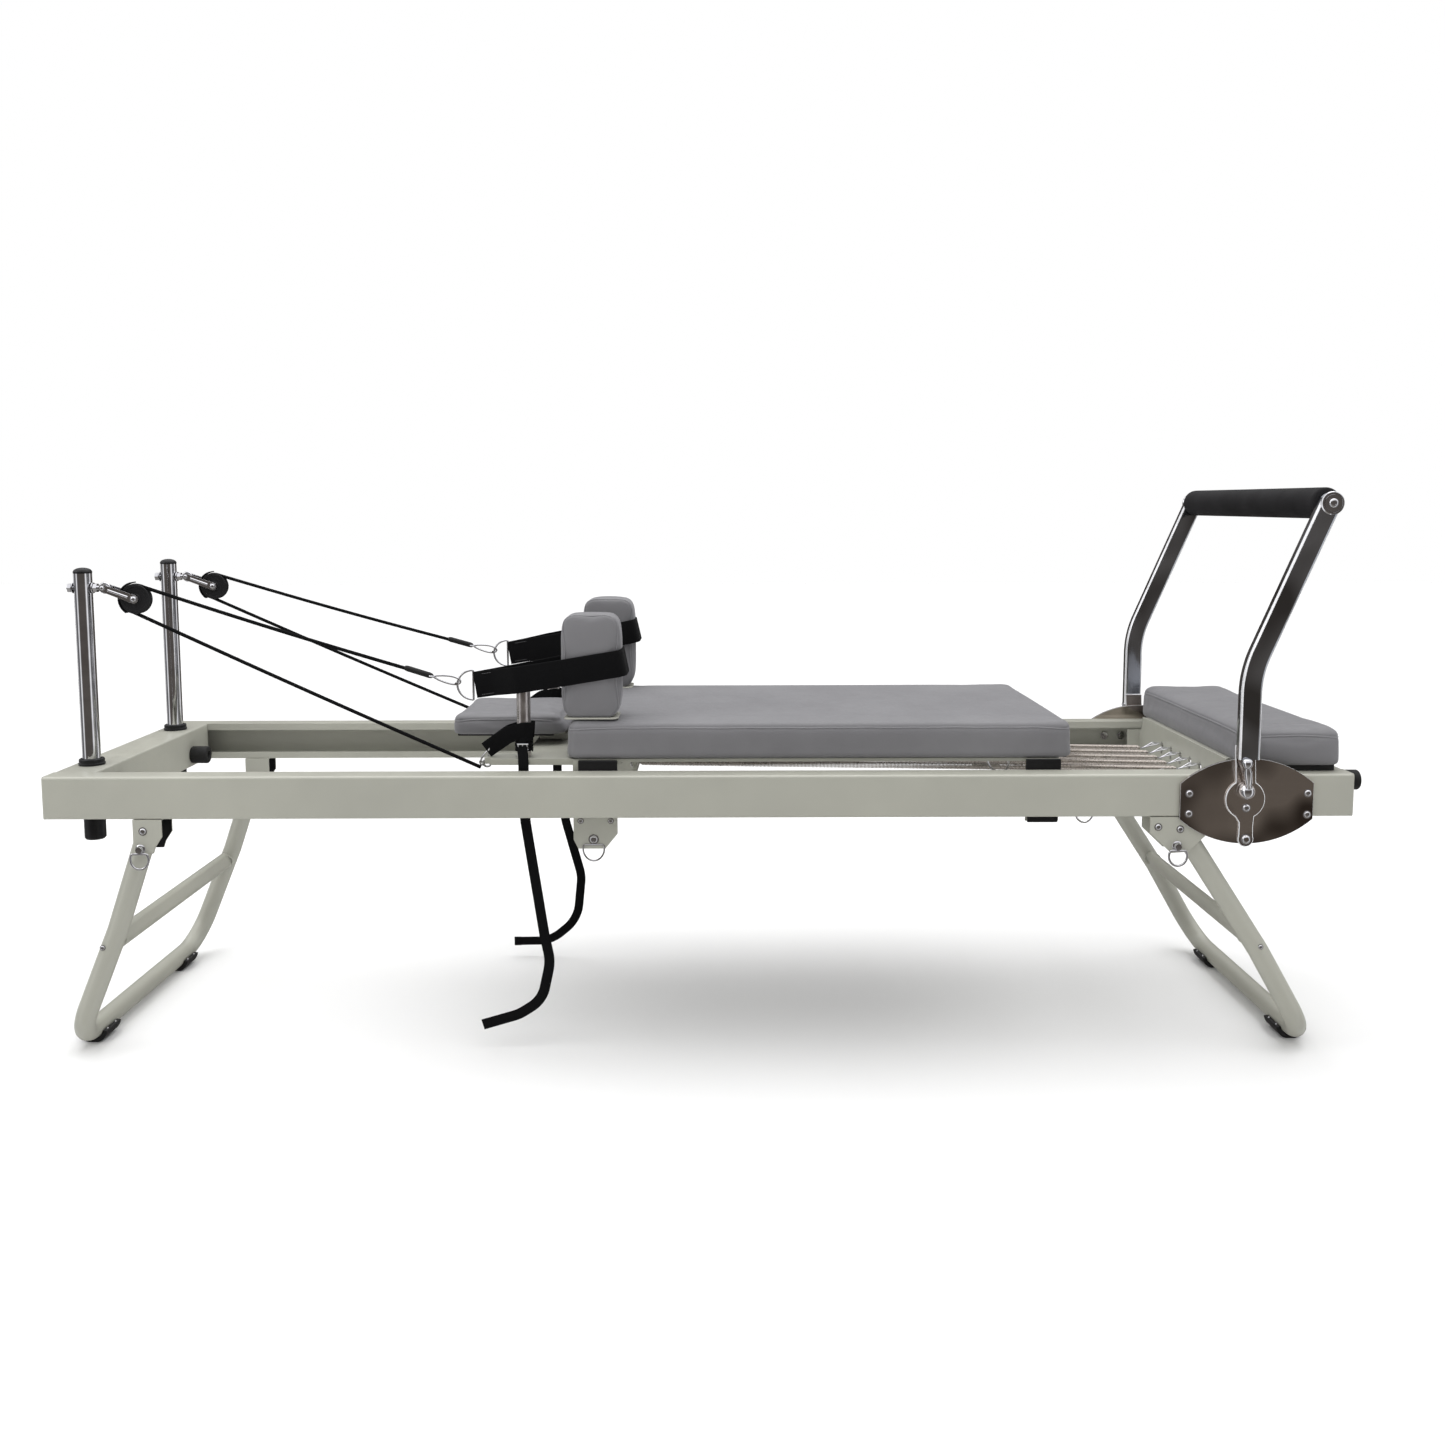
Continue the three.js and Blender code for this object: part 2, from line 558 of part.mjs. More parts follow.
// Flat arms and cross plates under the pad, hangers down inside the rails with the wheel axles,
// strap posts, shoulder-rest pins, headrest lugs and the bar that holds the spring ends.
function carriageFrame() {
  const { left, right, top, thickness, inner, outer, nose } = ARM;
  const { sheet, crossArm, crossPlate, springHolder } = CHASSIS;
  const { headLeft, headRight, headBottom, holeX, holeZ, hole, footLeft, footRight, footBottom } = HANGER;
  const { hingeX, hingeZ, lugInner, leafInner, leafOuter, pin: hingePin } = HEADREST;
  const under = PAD.bottom - GAP;
  const armBottom = top - thickness;
  const reach = inner + 5;
  const solids = [
    block(...crossArm, -reach, reach, armBottom, top),
    block(...crossPlate, -reach, reach, under - sheet, under),
    block(footLeft, footRight, -reach, reach, under - sheet, under),
    block(SPRING.headX - 9, SPRING.headX - 1, -springHolder, springHolder, SPRING.headZ - 12, under - 1),
  ];
  const headPlate = polygon([
    [headLeft, top - 2], [headLeft, 390], [headLeft + 8, headBottom], [headRight - 22, headBottom],
    [headRight, 400], [headRight, top - 2],
  ]);
  for (const [, side] of SIDES) {
    const y = (v) => side * v;
    const hangerIn = y(HANGER.inner);
    const hangerOut = y(HANGER.outer);
    const axleEnd = y(WHEEL.outer + 4);
    const pinY = y((SHOULDER.inner + SHOULDER.outer) / 2);
    solids.push(
      block(left + 12, right, y(inner), y(outer), armBottom, top),
      block(left, left + nose, y(inner + 12), y(outer - 12), armBottom, top),
      block(CHASSIS.left, footRight, y(inner), y(outer), under - sheet, under),
      block(headLeft, headRight, y(outer - 2), hangerOut, armBottom, top - 2),
      block(footLeft, footRight, y(outer - 2), hangerOut, under - sheet, under),
      plateXZ(headPlate, hangerIn, hangerOut).subtract(bar('y', hole, y(230), y(290), [holeX, holeZ], 12)),
      block(footLeft, footRight, hangerIn, hangerOut, footBottom, under),
      bar('y', WHEEL.axle, hangerIn, axleEnd, [WHEEL.headX, wheelHeight()], 14),
      bar('y', WHEEL.axle, hangerIn, axleEnd, [WHEEL.footX, wheelHeight()], 14),
      bar('z', STRAP_POST.radius, top - 2, STRAP_POST.top, [STRAP_POST.x, y(STRAP_POST.y)], 18),
      bar('z', SHOULDER.pin, top - 2, SHOULDER.pinTop, [SHOULDER.pinX, pinY], 14),
      block(hingeX - 6, hingeX + 6, y(lugInner), y(leafInner - 1), top - 2, hingeZ + 7),
      bar('y', hingePin, y(lugInner), y(leafOuter + 1), [hingeX, hingeZ], 10),
    );
  }
  return union(...solids);
}

function wheelHeight() {
  return RAIL.bottom + RAIL.wall + WHEEL.radius + WHEEL.play;
}

function carriagePad() {
  const { left, right, halfWidth, bottom, top, corner } = PAD;
  const { pin, pinPlay, pinX } = SHOULDER;
  let solid = plateXY(roundedRectangle(left, right, -halfWidth, halfWidth, corner), bottom, top, 4);
  for (const [, side] of SIDES) {
    const y = side * (SHOULDER.inner + SHOULDER.outer) / 2;
    solid = solid.subtract(bar('z', pin + pinPlay, bottom - 5, top + 5, [pinX, y], 14));
  }
  return solid;
}

function shoulderPad(side) {
  const { left, right, inner, outer, bottom, top, corner, pinX, pin, pinTop, pinPlay } = SHOULDER;
  const y0 = Math.min(side * inner, side * outer);
  const y1 = Math.max(side * inner, side * outer);
  return plateXZ(roundedRectangle(left, right, bottom, top, corner), y0, y1, 4)
    .subtract(bar('z', pin + pinPlay, bottom - 5, pinTop + 1, [pinX, (y0 + y1) / 2], 14));
}

// Spoked wheel body with a rounded tread, around its own centre.
function wheel() {
  const { bore, radius, round, inner, outer } = WHEEL;
  const half = (outer - inner) / 2;
  const profile = [
    [bore, -half], [radius - 3, -half], [radius, -half + round], [radius, half - round], [radius - 3, half],
    [bore, half], [bore, -half],
  ];
  return solidOf(turned(profile, 18));
}

function headrest() {
  const { left, right, halfWidth, bottom, top, corner } = HEADREST;
  const { hingeX, hingeZ, leafLeft, leafInner, leafOuter, knuckle, pin, lugInner } = HEADREST;
  const pad = plateXY(roundedRectangle(left, right, -halfWidth, halfWidth, corner), bottom, top, 4);
  const leaf = (side) => union(
    block(leafLeft, hingeX, side * leafInner, side * leafOuter, hingeZ - knuckle, bottom + 1),
    bar('y', knuckle, side * leafInner, side * leafOuter, [hingeX, hingeZ], 12),
  ).subtract(bar('y', pin + GAP, side * lugInner, side * (leafOuter + 5), [hingeX, hingeZ], 12));
  return union(pad, leaf(-1), leaf(1));
}

// Close-wound spring body with a hook bent through the bar's keyhole; drawn along its own line.
function spring() {
  const { radius, headX, headZ, footX, footZ, wire } = SPRING;
  const hookX = SPRING_BAR.x + SPRING_BAR.thickness / 2;
  const body = [new THREE.Vector3(headX, 0, headZ), new THREE.Vector3(footX, 0, footZ)];
  const hook = bentPoints([[footX - 5, 0, footZ], [hookX - 14, 0, footZ + 3], [hookX, 0, footZ + 7],
    [hookX + 9, 0, footZ + 2], [hookX + 5, 0, footZ - 6]], 6, 3);
  return tube(body, radius, 10).add(tube(hook, wire, 6));
}

// Webbing loop around the shoulder pad, sewn onto a D-ring at its head end; it rises towards the foot end.
function handLoop(side, name) {
  const { ringX, ringArc, ringHalf, wire, height, thickness, right } = LOOP;
  const { ringZ, slope } = LOOP[name];
  const middle = side * (SHOULDER.inner + SHOULDER.outer) / 2;
  const half = (SHOULDER.outer - SHOULDER.inner) / 2 + 6;
  const inside = half - thickness;
  // corners as [x, distance from the middle]: only the outer run goes round the strap post
  const band = (grow) => {
    const run = [
      [ringX - grow, 3], [ringX + 30, 10 + grow], [STRAP_POST.x - 22, 34 + grow],
      [SHOULDER.left - 8, inside + grow], [right - 7, inside + grow], [right - thickness + grow, inside - 3],
    ];
    run[0][1] += grow;
    const outer = run.map(([x, away]) => [x, middle + side * away]);
    const inner = run.filter((_, i) => i !== 2).map(([x, away]) => [x, middle - side * away]);
    return polygon([...outer, ...inner.reverse()]);
  };
  const shape = band(thickness);
  shape.holes.push(band(0));
  const geometry = extruded(shape, height);
  const position = geometry.getAttribute('position');
  for (let i = 0; i < position.count; i += 1) {
    position.setZ(i, position.getZ(i) + ringZ - height / 2 + slope * (position.getX(i) - ringX));
  }
  const barX = ringX - 2;
  const bowX = ringX - ringArc;
  const arc = bentPoints([
    [barX, middle, ringZ - ringHalf], [bowX + 6, middle, ringZ - 24], [bowX - 3, middle, ringZ],
    [bowX + 6, middle, ringZ + 24], [barX, middle, ringZ + ringHalf],
  ], 20, 3);
  const ringBar = bar('z', wire, ringZ - ringHalf - 1, ringZ + ringHalf + 1, [barX, middle], 8);
  return union(solidOf(geometry), tube(arc, wire, 8), ringBar);
}

// ---------------------------------------------------------------- ropes

// Rope from the strap post's hook up to the pulley, around it and down to the hand loop's ring,
// with the webbing that ties it to the strap post and the tail that hangs from there.
function rope(side, name) {
  const { radius, wrap: wrapRadius, upperY, lowerY, lowX, lowZ, highX } = ROPE;
  const highZ = LOOP[name].ringZ + ROPE.aboveRing;
  const y = (v) => side * v;
  const centre = new THREE.Vector2(PULLEY.x, PULLEY.z);
  // where a straight run from an end touches the wrap circle, on its upper (+1) or lower (-1) side
  const touch = (x, z, upper) => {
    const d = new THREE.Vector2(x, z).sub(centre);
    return Math.atan2(d.y, d.x) + upper * Math.acos(wrapRadius / d.length());
  };
  const high = touch(highX, highZ, 1);
  const low = touch(lowX, lowZ, -1) + 2 * Math.PI;
  const steps = 9;
  const wrap = Array.from({ length: steps + 1 }, (_, i) => {
    const turn = high + ((low - high) * i) / steps;
    return [centre.x + wrapRadius * Math.cos(turn), y(POST.y), centre.y + wrapRadius * Math.sin(turn)];
  });
  const points = [[highX, y(upperY), highZ], ...wrap, [lowX, y(lowerY), lowZ]]
    .map((p) => new THREE.Vector3(...p));
  const run = tube(points, radius);

  const slope = (points[1].z - highZ) / (points[1].x - highX);
  const onRun = (x, lateral) => new THREE.Vector3(x, y(lateral), highZ + slope * (x - highX));
  const sleeve = tube([onRun(ROPE.sleeveLeft, 202), onRun(ROPE.sleeveRight, 203)], ROPE.sleeve);

  const hookPath = [[lowX, y(lowerY), lowZ], [lowX - 2, y(220), 530], [lowX + 2, y(222), 546]];
  const hook = tube(bentPoints(hookPath, 8, 3), ROPE.hook);
  const postHole = bar('z', STRAP_POST.radius + 0.5, 500, 700, [STRAP_POST.x, y(STRAP_POST.y)], 18);
  const strap = plateXZ(polygon(ADJUSTER.outline), y(ADJUSTER.inner), y(ADJUSTER.outer)).subtract(postHole);
  const tail = bentPoints([
    [-319, y(236), 556], [-317, y(252), 548], [-315, y(TAIL.y), 520],
    ...TAIL[name].map(([x, z]) => [x, y(TAIL.y), z]),
  ], 60, 3);
  return union(run, sleeve, hook, strap, ribbon(tail, TAIL.width, TAIL.thickness));
}

// A flat band along points in an X-Z plane, with its flat side to +-Y.
function ribbon(points, width, thickness) {
  const path = new PointPath(points);
  const last = points.length - 1;
  const corners = points.flatMap((p, i) => {
    const along = path.getTangentAt(i / last);
    const across = new THREE.Vector3(along.z, 0, -along.x).normalize();
    const out = new THREE.Vector3().crossVectors(along, across).normalize();
    return [[-1, -1], [1, -1], [1, 1], [-1, 1]].map(([a, b]) => p.clone()
      .addScaledVector(across, (a * width) / 2).addScaledVector(out, (b * thickness) / 2));
  });
  const index = [0, 2, 1, 0, 3, 2];
  for (let i = 0; i < last; i += 1) {
    for (let k = 0; k < 4; k += 1) {
      const a = i * 4 + k;
      const b = i * 4 + ((k + 1) % 4);
      index.push(a, b, b + 4, a, b + 4, a + 4);
    }
  }
  const end = last * 4;
  index.push(end, end + 1, end + 2, end, end + 2, end + 3);
  const geometry = new THREE.BufferGeometry();
  const positions = new Float32Array(corners.flatMap((v) => [v.x, v.y, v.z]));
  geometry.setAttribute('position', new THREE.BufferAttribute(positions, 3));
  geometry.setIndex(index);
  return solidOf(geometry);
}

// ---------------------------------------------------------------- pulleys

// Two straps from the eye bolt's ring to the sheave, joined by a pin at each end.
function pulleyArm() {
  const dx = PULLEY.x - EYE.x;
  const dz = PULLEY.z - EYE.z;
  const length = Math.hypot(dx, dz);
  const solids = [
    bar('y', PULLEY.axle, -12.5, 12.5, [dx, dz], 10),
    bar('y', 2.6, -12.5, 12.5, [0, 0], 8),
  ];
  for (const side of [-1, 1]) {
    const strap = new THREE.Shape();
    strap.absarc(0, 0, 6, Math.PI / 2, 1.5 * Math.PI);
    strap.absarc(length, 0, 9, -Math.PI / 2, Math.PI / 2);
    const geometry = extruded(strap, 2.5, 5);
    geometry.rotateX(Math.PI / 2);
    geometry.rotateY(Math.atan2(-dz, dx));
    geometry.translate(0, side > 0 ? 12 : -9.5, 0);
    solids.push(solidOf(geometry));
  }
  return union(...solids);
}

function sheave() {
  const { radius, groove, halfWidth, bore } = PULLEY;
  const rim = halfWidth - 1.5;
  const profile = [
    [bore, -halfWidth], [radius, -halfWidth], [radius, -rim], [groove + 2, -4.2], [groove, -3], [groove, 3],
    [groove + 2, 4.2], [radius, rim], [radius, halfWidth], [bore, halfWidth], [bore, -halfWidth],
  ];
  return solidOf(turned(profile, 18));
}

// ---------------------------------------------------------------- assembly

const model = new THREE.Group();
const machine = new THREE.Group();
machine.position.x = -BOX_CENTRE_X;
model.add(machine);

const frame = new THREE.Group();
const carriage = new THREE.Group();
machine.add(frame, carriage);

piece('head_cross_rail', headCrossRail(), paint(), frame);
piece('foot_cross_rail', crossRailSolid(RAIL.halfLength - CROSS_RAIL_WIDTH, RAIL.halfLength), paint(), frame);
piece('spring_bar', springBar(), paint(), frame);
piece('foot_pad', footPad(), leather(), frame);

const bumperX = -RAIL.halfLength + CROSS_RAIL_WIDTH + GAP;
const endX = RAIL.halfLength + GAP;

for (const [name, side] of SIDES) {
  const bumperPlace = [side * BUMPER.y, BUMPER.z];
  const endPlace = [side * END_FOOT.y, END_FOOT.z];
  const bumper = bar('x', BUMPER.radius, bumperX, bumperX + BUMPER.length, bumperPlace, 20);
  const endFoot = bar('x', END_FOOT.radius, endX, RAIL.halfLength + END_FOOT.length, endPlace, 20);
  piece(`rail_${name}`, railSolid(side), paint(), frame);
  piece(`pulley_post_${name}`, post(side), chrome(), frame);
  piece(`post_cap_${name}`, postCap(side), rubber(), frame);
  piece(`post_sleeve_${name}`, postSleeve(side), rubber(), frame);
  piece(`eye_bolt_${name}`, eyeBolt(side), chrome(), frame);
  piece(`head_bumper_${name}`, bumper, rubber(), frame);
  piece(`end_foot_${name}`, endFoot, rubber(), frame);
  piece(`leg_bracket_head_${name}`, legBracket(side, HEAD_LEG), paint(), frame);
  piece(`leg_bracket_foot_${name}`, legBracket(side, FOOT_LEG), paint(), frame);
  piece(`footbar_plate_${name}`, ovalPlate(side), darkChrome(), frame);

  const pinPlace = (leg) => [leg.pin[0], side * RAIL.halfWidth, leg.pin[1]];
  piece(`pull_pin_head_${name}`, pullPin(side), chrome(), frame, pinPlace(HEAD_LEG));
  piece(`pull_pin_foot_${name}`, pullPin(side), chrome(), frame, pinPlace(FOOT_LEG));
  piece(`pulley_arm_${name}`, pulleyArm(), chrome(), frame, [EYE.x, side * POST.y, EYE.z]);
  piece(`pulley_${name}`, sheave(), rubber(), frame, [PULLEY.x, side * POST.y, PULLEY.z]);
  piece(`leg_head_foot_${name}`, legFoot(), rubber(), frame, [HEAD_LEG.baseX, side * LEG.footY, 0]);
  piece(`leg_foot_foot_${name}`, legFoot(), rubber(), frame, [FOOT_LEG.baseX, side * LEG.footY, 0]);
  const leverPlace = [LEVER.x, side * (FOOTBAR.inner + GAP), LEVER.z];
  piece(`lock_lever_${name}`, lockLever(side), chrome(), frame, leverPlace);

  const wheelY = side * (WHEEL.inner + WHEEL.outer) / 2;
  piece(`shoulder_pad_${name}`, shoulderPad(side), leather(), carriage);
  piece(`hand_loop_${name}`, handLoop(side, name), webbing(), carriage);
  piece(`rope_${name}`, rope(side, name), webbing(), carriage);
  piece(`wheel_head_${name}`, wheel(), rubber(), carriage, [WHEEL.headX, wheelY, wheelHeight()]);
  piece(`wheel_foot_${name}`, wheel(), rubber(), carriage, [WHEEL.footX, wheelY, wheelHeight()]);
}

piece('leg_head', legFrame(HEAD_LEG), paint(), frame);
piece('leg_foot', legFrame(FOOT_LEG), paint(), frame);
piece('footbar_frame', footbarFrame(), darkChrome(), frame);
piece('footbar_grip', footbarGrip(), rubber(), frame);
piece('carriage_frame', carriageFrame(), paint(), carriage);
piece('carriage_pad', carriagePad(), leather(), carriage);
piece('headrest_pad', headrest(), leather(), carriage);
springRows().forEach((y, i) => {
  piece(`spring_${i + 1}`, spring(), chrome(), carriage, [0, y, 0]);
});

export default model;
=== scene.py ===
"""Looks of the pilates reformer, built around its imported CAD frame. Metres, +Z up."""
import itertools
import json
import math

import bmesh
import bpy
import numpy as np
from mathutils import Matrix, Vector
from mathutils.bvhtree import BVHTree
from mathutils.kdtree import KDTree


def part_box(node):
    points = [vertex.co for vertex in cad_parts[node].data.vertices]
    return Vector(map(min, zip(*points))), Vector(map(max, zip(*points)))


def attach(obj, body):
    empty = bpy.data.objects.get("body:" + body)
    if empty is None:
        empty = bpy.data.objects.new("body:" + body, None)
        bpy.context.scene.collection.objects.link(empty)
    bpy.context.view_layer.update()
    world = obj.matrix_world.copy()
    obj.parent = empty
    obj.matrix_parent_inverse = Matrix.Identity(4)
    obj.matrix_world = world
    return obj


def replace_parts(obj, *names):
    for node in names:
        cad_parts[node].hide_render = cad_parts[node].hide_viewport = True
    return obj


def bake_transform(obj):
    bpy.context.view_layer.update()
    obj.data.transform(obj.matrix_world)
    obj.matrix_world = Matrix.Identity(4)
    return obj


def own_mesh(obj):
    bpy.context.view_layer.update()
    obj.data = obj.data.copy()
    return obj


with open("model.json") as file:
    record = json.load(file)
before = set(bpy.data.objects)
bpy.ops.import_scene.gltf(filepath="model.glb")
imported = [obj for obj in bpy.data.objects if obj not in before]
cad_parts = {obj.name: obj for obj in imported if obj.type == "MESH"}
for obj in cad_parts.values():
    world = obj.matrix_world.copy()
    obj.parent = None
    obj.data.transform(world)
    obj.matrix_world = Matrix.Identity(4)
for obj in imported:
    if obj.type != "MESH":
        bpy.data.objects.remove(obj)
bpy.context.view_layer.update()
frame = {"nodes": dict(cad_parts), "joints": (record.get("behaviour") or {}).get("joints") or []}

MM = 0.001
NODES = frame["nodes"]
JOINTS = {joint["name"]: joint for joint in frame["joints"]}
SIDES = (("near", -1), ("far", 1))


def mid(node):
    low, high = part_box(node)
    return (low + high) / 2


RAIL_LOW, RAIL_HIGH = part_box("rail_near")
RAIL_MID_X = mid("rail_near").x
RAIL_FACE = -RAIL_LOW.y            # distance of the rails' outer faces from the centre plane
RAIL_INNER = -RAIL_HIGH.y          # and of the lips that face the centre plane


def at(x, y, z):
    """A point given in millimetres from the middle of the rails, the centre plane and the floor."""
    return Vector((RAIL_MID_X + x * MM, y * MM, z * MM))


def shift(x=0.0, y=0.0, z=0.0):
    """An offset given in millimetres."""
    return Vector((x, y, z)) * MM


def x_at(x):
    return RAIL_MID_X + x * MM


def z_at(z):
    return z * MM


def pivot(joint):
    return Vector(JOINTS[joint]["pos_m"])


# ------------------------------------------------------------------ materials

class Nodes:
    """Short helpers for wiring a node tree."""

    def __init__(self, tree):
        self.tree = tree

    def node(self, kind, **settings):
        made = self.tree.nodes.new(kind)
        for key, value in settings.items():
            setattr(made, key, value)
        return made

    def feed(self, socket, value):
        if isinstance(value, bpy.types.NodeSocket):
            self.tree.links.new(value, socket)
        elif isinstance(value, tuple) and len(value) == 3 and socket.type == "RGBA":
            socket.default_value = (*value, 1)
        else:
            socket.default_value = value

    def maths(self, operation, a, b=0.0):
        made = self.node("ShaderNodeMath", operation=operation)
        self.feed(made.inputs[0], a)
        self.feed(made.inputs[1], b)
        return made.outputs[0]

    def mix(self, factor, a, b):
        """Colour a where factor is 0, colour b where it is 1."""
        made = self.node("ShaderNodeMix", data_type="RGBA")
        for name, kind, value in (("Factor", "VALUE", factor), ("A", "RGBA", a), ("B", "RGBA", b)):
            self.feed(next(s for s in made.inputs if s.name == name and s.type == kind), value)
        return next(s for s in made.outputs if s.type == "RGBA")

    def ramp(self, value, start, end, low=0.0, high=1.0, smooth=False):
        """value from start..end onto the numbers low..high."""
        made = self.node("ShaderNodeMapRange", interpolation_type="SMOOTHSTEP" if smooth else "LINEAR")
        for key, number in zip(("From Min", "From Max", "To Min", "To Max"), (start, end, low, high)):
            made.inputs[key].default_value = number
        self.feed(made.inputs["Value"], value)
        return made.outputs["Result"]


class Graph(Nodes):
    """A material with a Principled shader and short helpers for its procedural inputs."""

    def __init__(self, name, slot):
        self.material = bpy.data.materials.new(name)
        self.material["slot"] = slot
        self.material.use_nodes = True
        super().__init__(self.material.node_tree)
        self.shader = self.tree.nodes["Principled BSDF"]
        self.place = self.node("ShaderNodeTexCoord").outputs["Object"]

    def set(self, **inputs):
        for key, value in inputs.items():
            self.feed(self.shader.inputs[key.replace("_", " ")], value)

    def stretched(self, x, y, z):
        mapping = self.node("ShaderNodeMapping")
        self.feed(mapping.inputs["Vector"], self.place)
        mapping.inputs["Scale"].default_value = (x, y, z)
        return mapping.outputs["Vector"]

    def noise(self, scale, detail=3, vector=None):
        made = self.node("ShaderNodeTexNoise")
        self.feed(made.inputs["Vector"], vector or self.place)
        made.inputs["Scale"].default_value = scale
        made.inputs["Detail"].default_value = detail
        return made.outputs["Fac"]

    def cells(self, scale, feature="F1"):
        made = self.node("ShaderNodeTexVoronoi", feature=feature)
        self.feed(made.inputs["Vector"], self.place)
        made.inputs["Scale"].default_value = scale
        return made.outputs["Distance"]

    def span(self, value, low, high, start=0.3, end=0.7):
        """value from start..end onto low..high, which are numbers or colours."""
        if isinstance(low, tuple):
            return self.mix(self.ramp(value, start, end), low, high)
        return self.ramp(value, start, end, low, high)

    def bump(self, height, distance, strength=1.0, under=None):
        made = self.node("ShaderNodeBump")
        made.inputs["Strength"].default_value = strength
        made.inputs["Distance"].default_value = distance
        self.feed(made.inputs["Height"], height)
        if under:
            self.feed(made.inputs["Normal"], under)
        return made.outputs["Normal"]

    def edge(self, radius):
        """1 near sharp edges, 0 on flats."""
        bevel = self.node("ShaderNodeBevel", samples=4)
        bevel.inputs["Radius"].default_value = radius
        geometry = self.node("ShaderNodeNewGeometry")
        dot = self.node("ShaderNodeVectorMath", operation="DOT_PRODUCT")
        self.feed(dot.inputs[0], bevel.outputs["Normal"])
        self.feed(dot.inputs[1], geometry.outputs["Normal"])
        return self.span(dot.outputs["Value"], 1.0, 0.0, 0.8, 0.98)


def powder_coat():
    g = Graph("powder_coat", "frame_paint")
    # the paint turns lighter in blotches along sharp edges: a painted edge highlight
    sharp_edges = g.edge(1.2 * MM)
    body = g.span(g.noise(5, 4), (0.392, 0.392, 0.342), (0.428, 0.428, 0.370))
    painted_coat_edge_highlight = g.maths("MULTIPLY", sharp_edges, g.span(g.noise(60), 0.1, 0.5))
    g.set(Base_Color=g.mix(painted_coat_edge_highlight, body, (0.56, 0.56, 0.52)),
          Roughness=g.span(g.noise(25, 5), 0.34, 0.48), Metallic=0.12,
          Coat_Weight=0.25, Coat_Roughness=0.2,
          Normal=g.bump(g.noise(900, 2), 0.06 * MM, 0.5))
    return g.material


def leatherette(tint=1.0, name="leatherette"):
    g = Graph(name, "upholstery")
    low, high = (0.150, 0.148, 0.156), (0.178, 0.176, 0.184)
    pores = g.cells(750)
    creases = g.cells(330, "DISTANCE_TO_EDGE")
    base = g.span(g.noise(7, 4), tuple(c * tint for c in low), tuple(c * tint for c in high))
    g.set(Base_Color=base, Roughness=g.span(g.noise(40, 4), 0.44, 0.58),
          Sheen_Weight=0.25, Sheen_Roughness=0.4, Sheen_Tint=(0.8, 0.8, 0.85),
          Normal=g.bump(pores, 0.16 * MM, 0.35,
                        g.bump(g.span(creases, 0.0, 1.0, 0.0, 0.08), 0.2 * MM, 0.3,
                               g.bump(g.noise(28, 3), 0.9 * MM, 0.22))))
    return g.material


def woven(name="webbing", along=0.0021, across=0.0017):
    """Webbing weave in the piece's own length and width, which its UV map holds in metres."""
    g = Graph(name, "webbing")
    uv = g.node("ShaderNodeUVMap")
    parts = g.node("ShaderNodeSeparateXYZ")
    g.feed(parts.inputs[0], uv.outputs["UV"])
    warp = g.maths("SINE", g.maths("MULTIPLY", parts.outputs["X"], 2 * math.pi / along))
    weft = g.maths("SINE", g.maths("MULTIPLY", parts.outputs["Y"], 2 * math.pi / across))
    weave = g.maths("MULTIPLY", warp, weft)
    fuzz = g.noise(1500, 3)
    shade = g.span(weave, (0.0015, 0.0015, 0.0018), (0.0065, 0.0065, 0.0072), -0.8, 0.8)
    g.set(Base_Color=shade, Roughness=g.span(fuzz, 0.7, 0.95), Sheen_Weight=0.02, Sheen_Roughness=0.5,
          Specular_IOR_Level=0.08,
          Normal=g.bump(weave, 0.3 * MM, 0.6, g.bump(fuzz, 0.1 * MM, 0.4)))
    return g.material


def moulded(name, slot, shade, roughness, grain, depth, shine=0.3):
    g = Graph(name, slot)
    speck = g.noise(grain, 4)
    tones = tuple(c * 0.75 for c in shade), tuple(c * 1.35 for c in shade)
    g.set(Base_Color=g.span(g.noise(18, 3), *tones),
          Roughness=g.span(speck, roughness - 0.08, roughness + 0.1),
          Specular_IOR_Level=shine, Normal=g.bump(speck, depth, 0.5))
    return g.material


def metal(name, slot, shade, roughness, brushed=None, painted_reflection_tone=None, metallic=1.0):
    """Polished metal; brushed stretches its grain along X, Y and Z; a darker tone, where given, is laid on
    in large blotches as a painted reflection.
    """
    g = Graph(name, slot)
    smears_and_reflection_patches = g.noise(9, 1) if painted_reflection_tone else g.noise(35, 4)
    scratches = g.noise(1.0, 3, g.stretched(*(brushed or (160, 160, 160))))
    # a given darker tone swings the colour in large blotches: painted reflection; otherwise the tone varies
    # slightly at random
    tones = painted_reflection_tone or tuple(c * 0.9 for c in shade), tuple(min(c * 1.06, 1.0) for c in shade)
    rough = g.maths("ADD", g.span(smears_and_reflection_patches, roughness * 0.7, roughness * 1.35),
                    g.span(scratches, 0.0, 0.05 if brushed else 0.02, 0.45, 0.7))
    g.set(Base_Color=g.span(smears_and_reflection_patches, *tones, 0.38, 0.62), Metallic=metallic, Roughness=rough,
          Normal=g.bump(scratches, 0.02 * MM, 0.3 if brushed else 0.12))
    return g.material


PAINT = powder_coat()
LEATHER = leatherette()
SEAM = leatherette(0.62, "seam_thread")
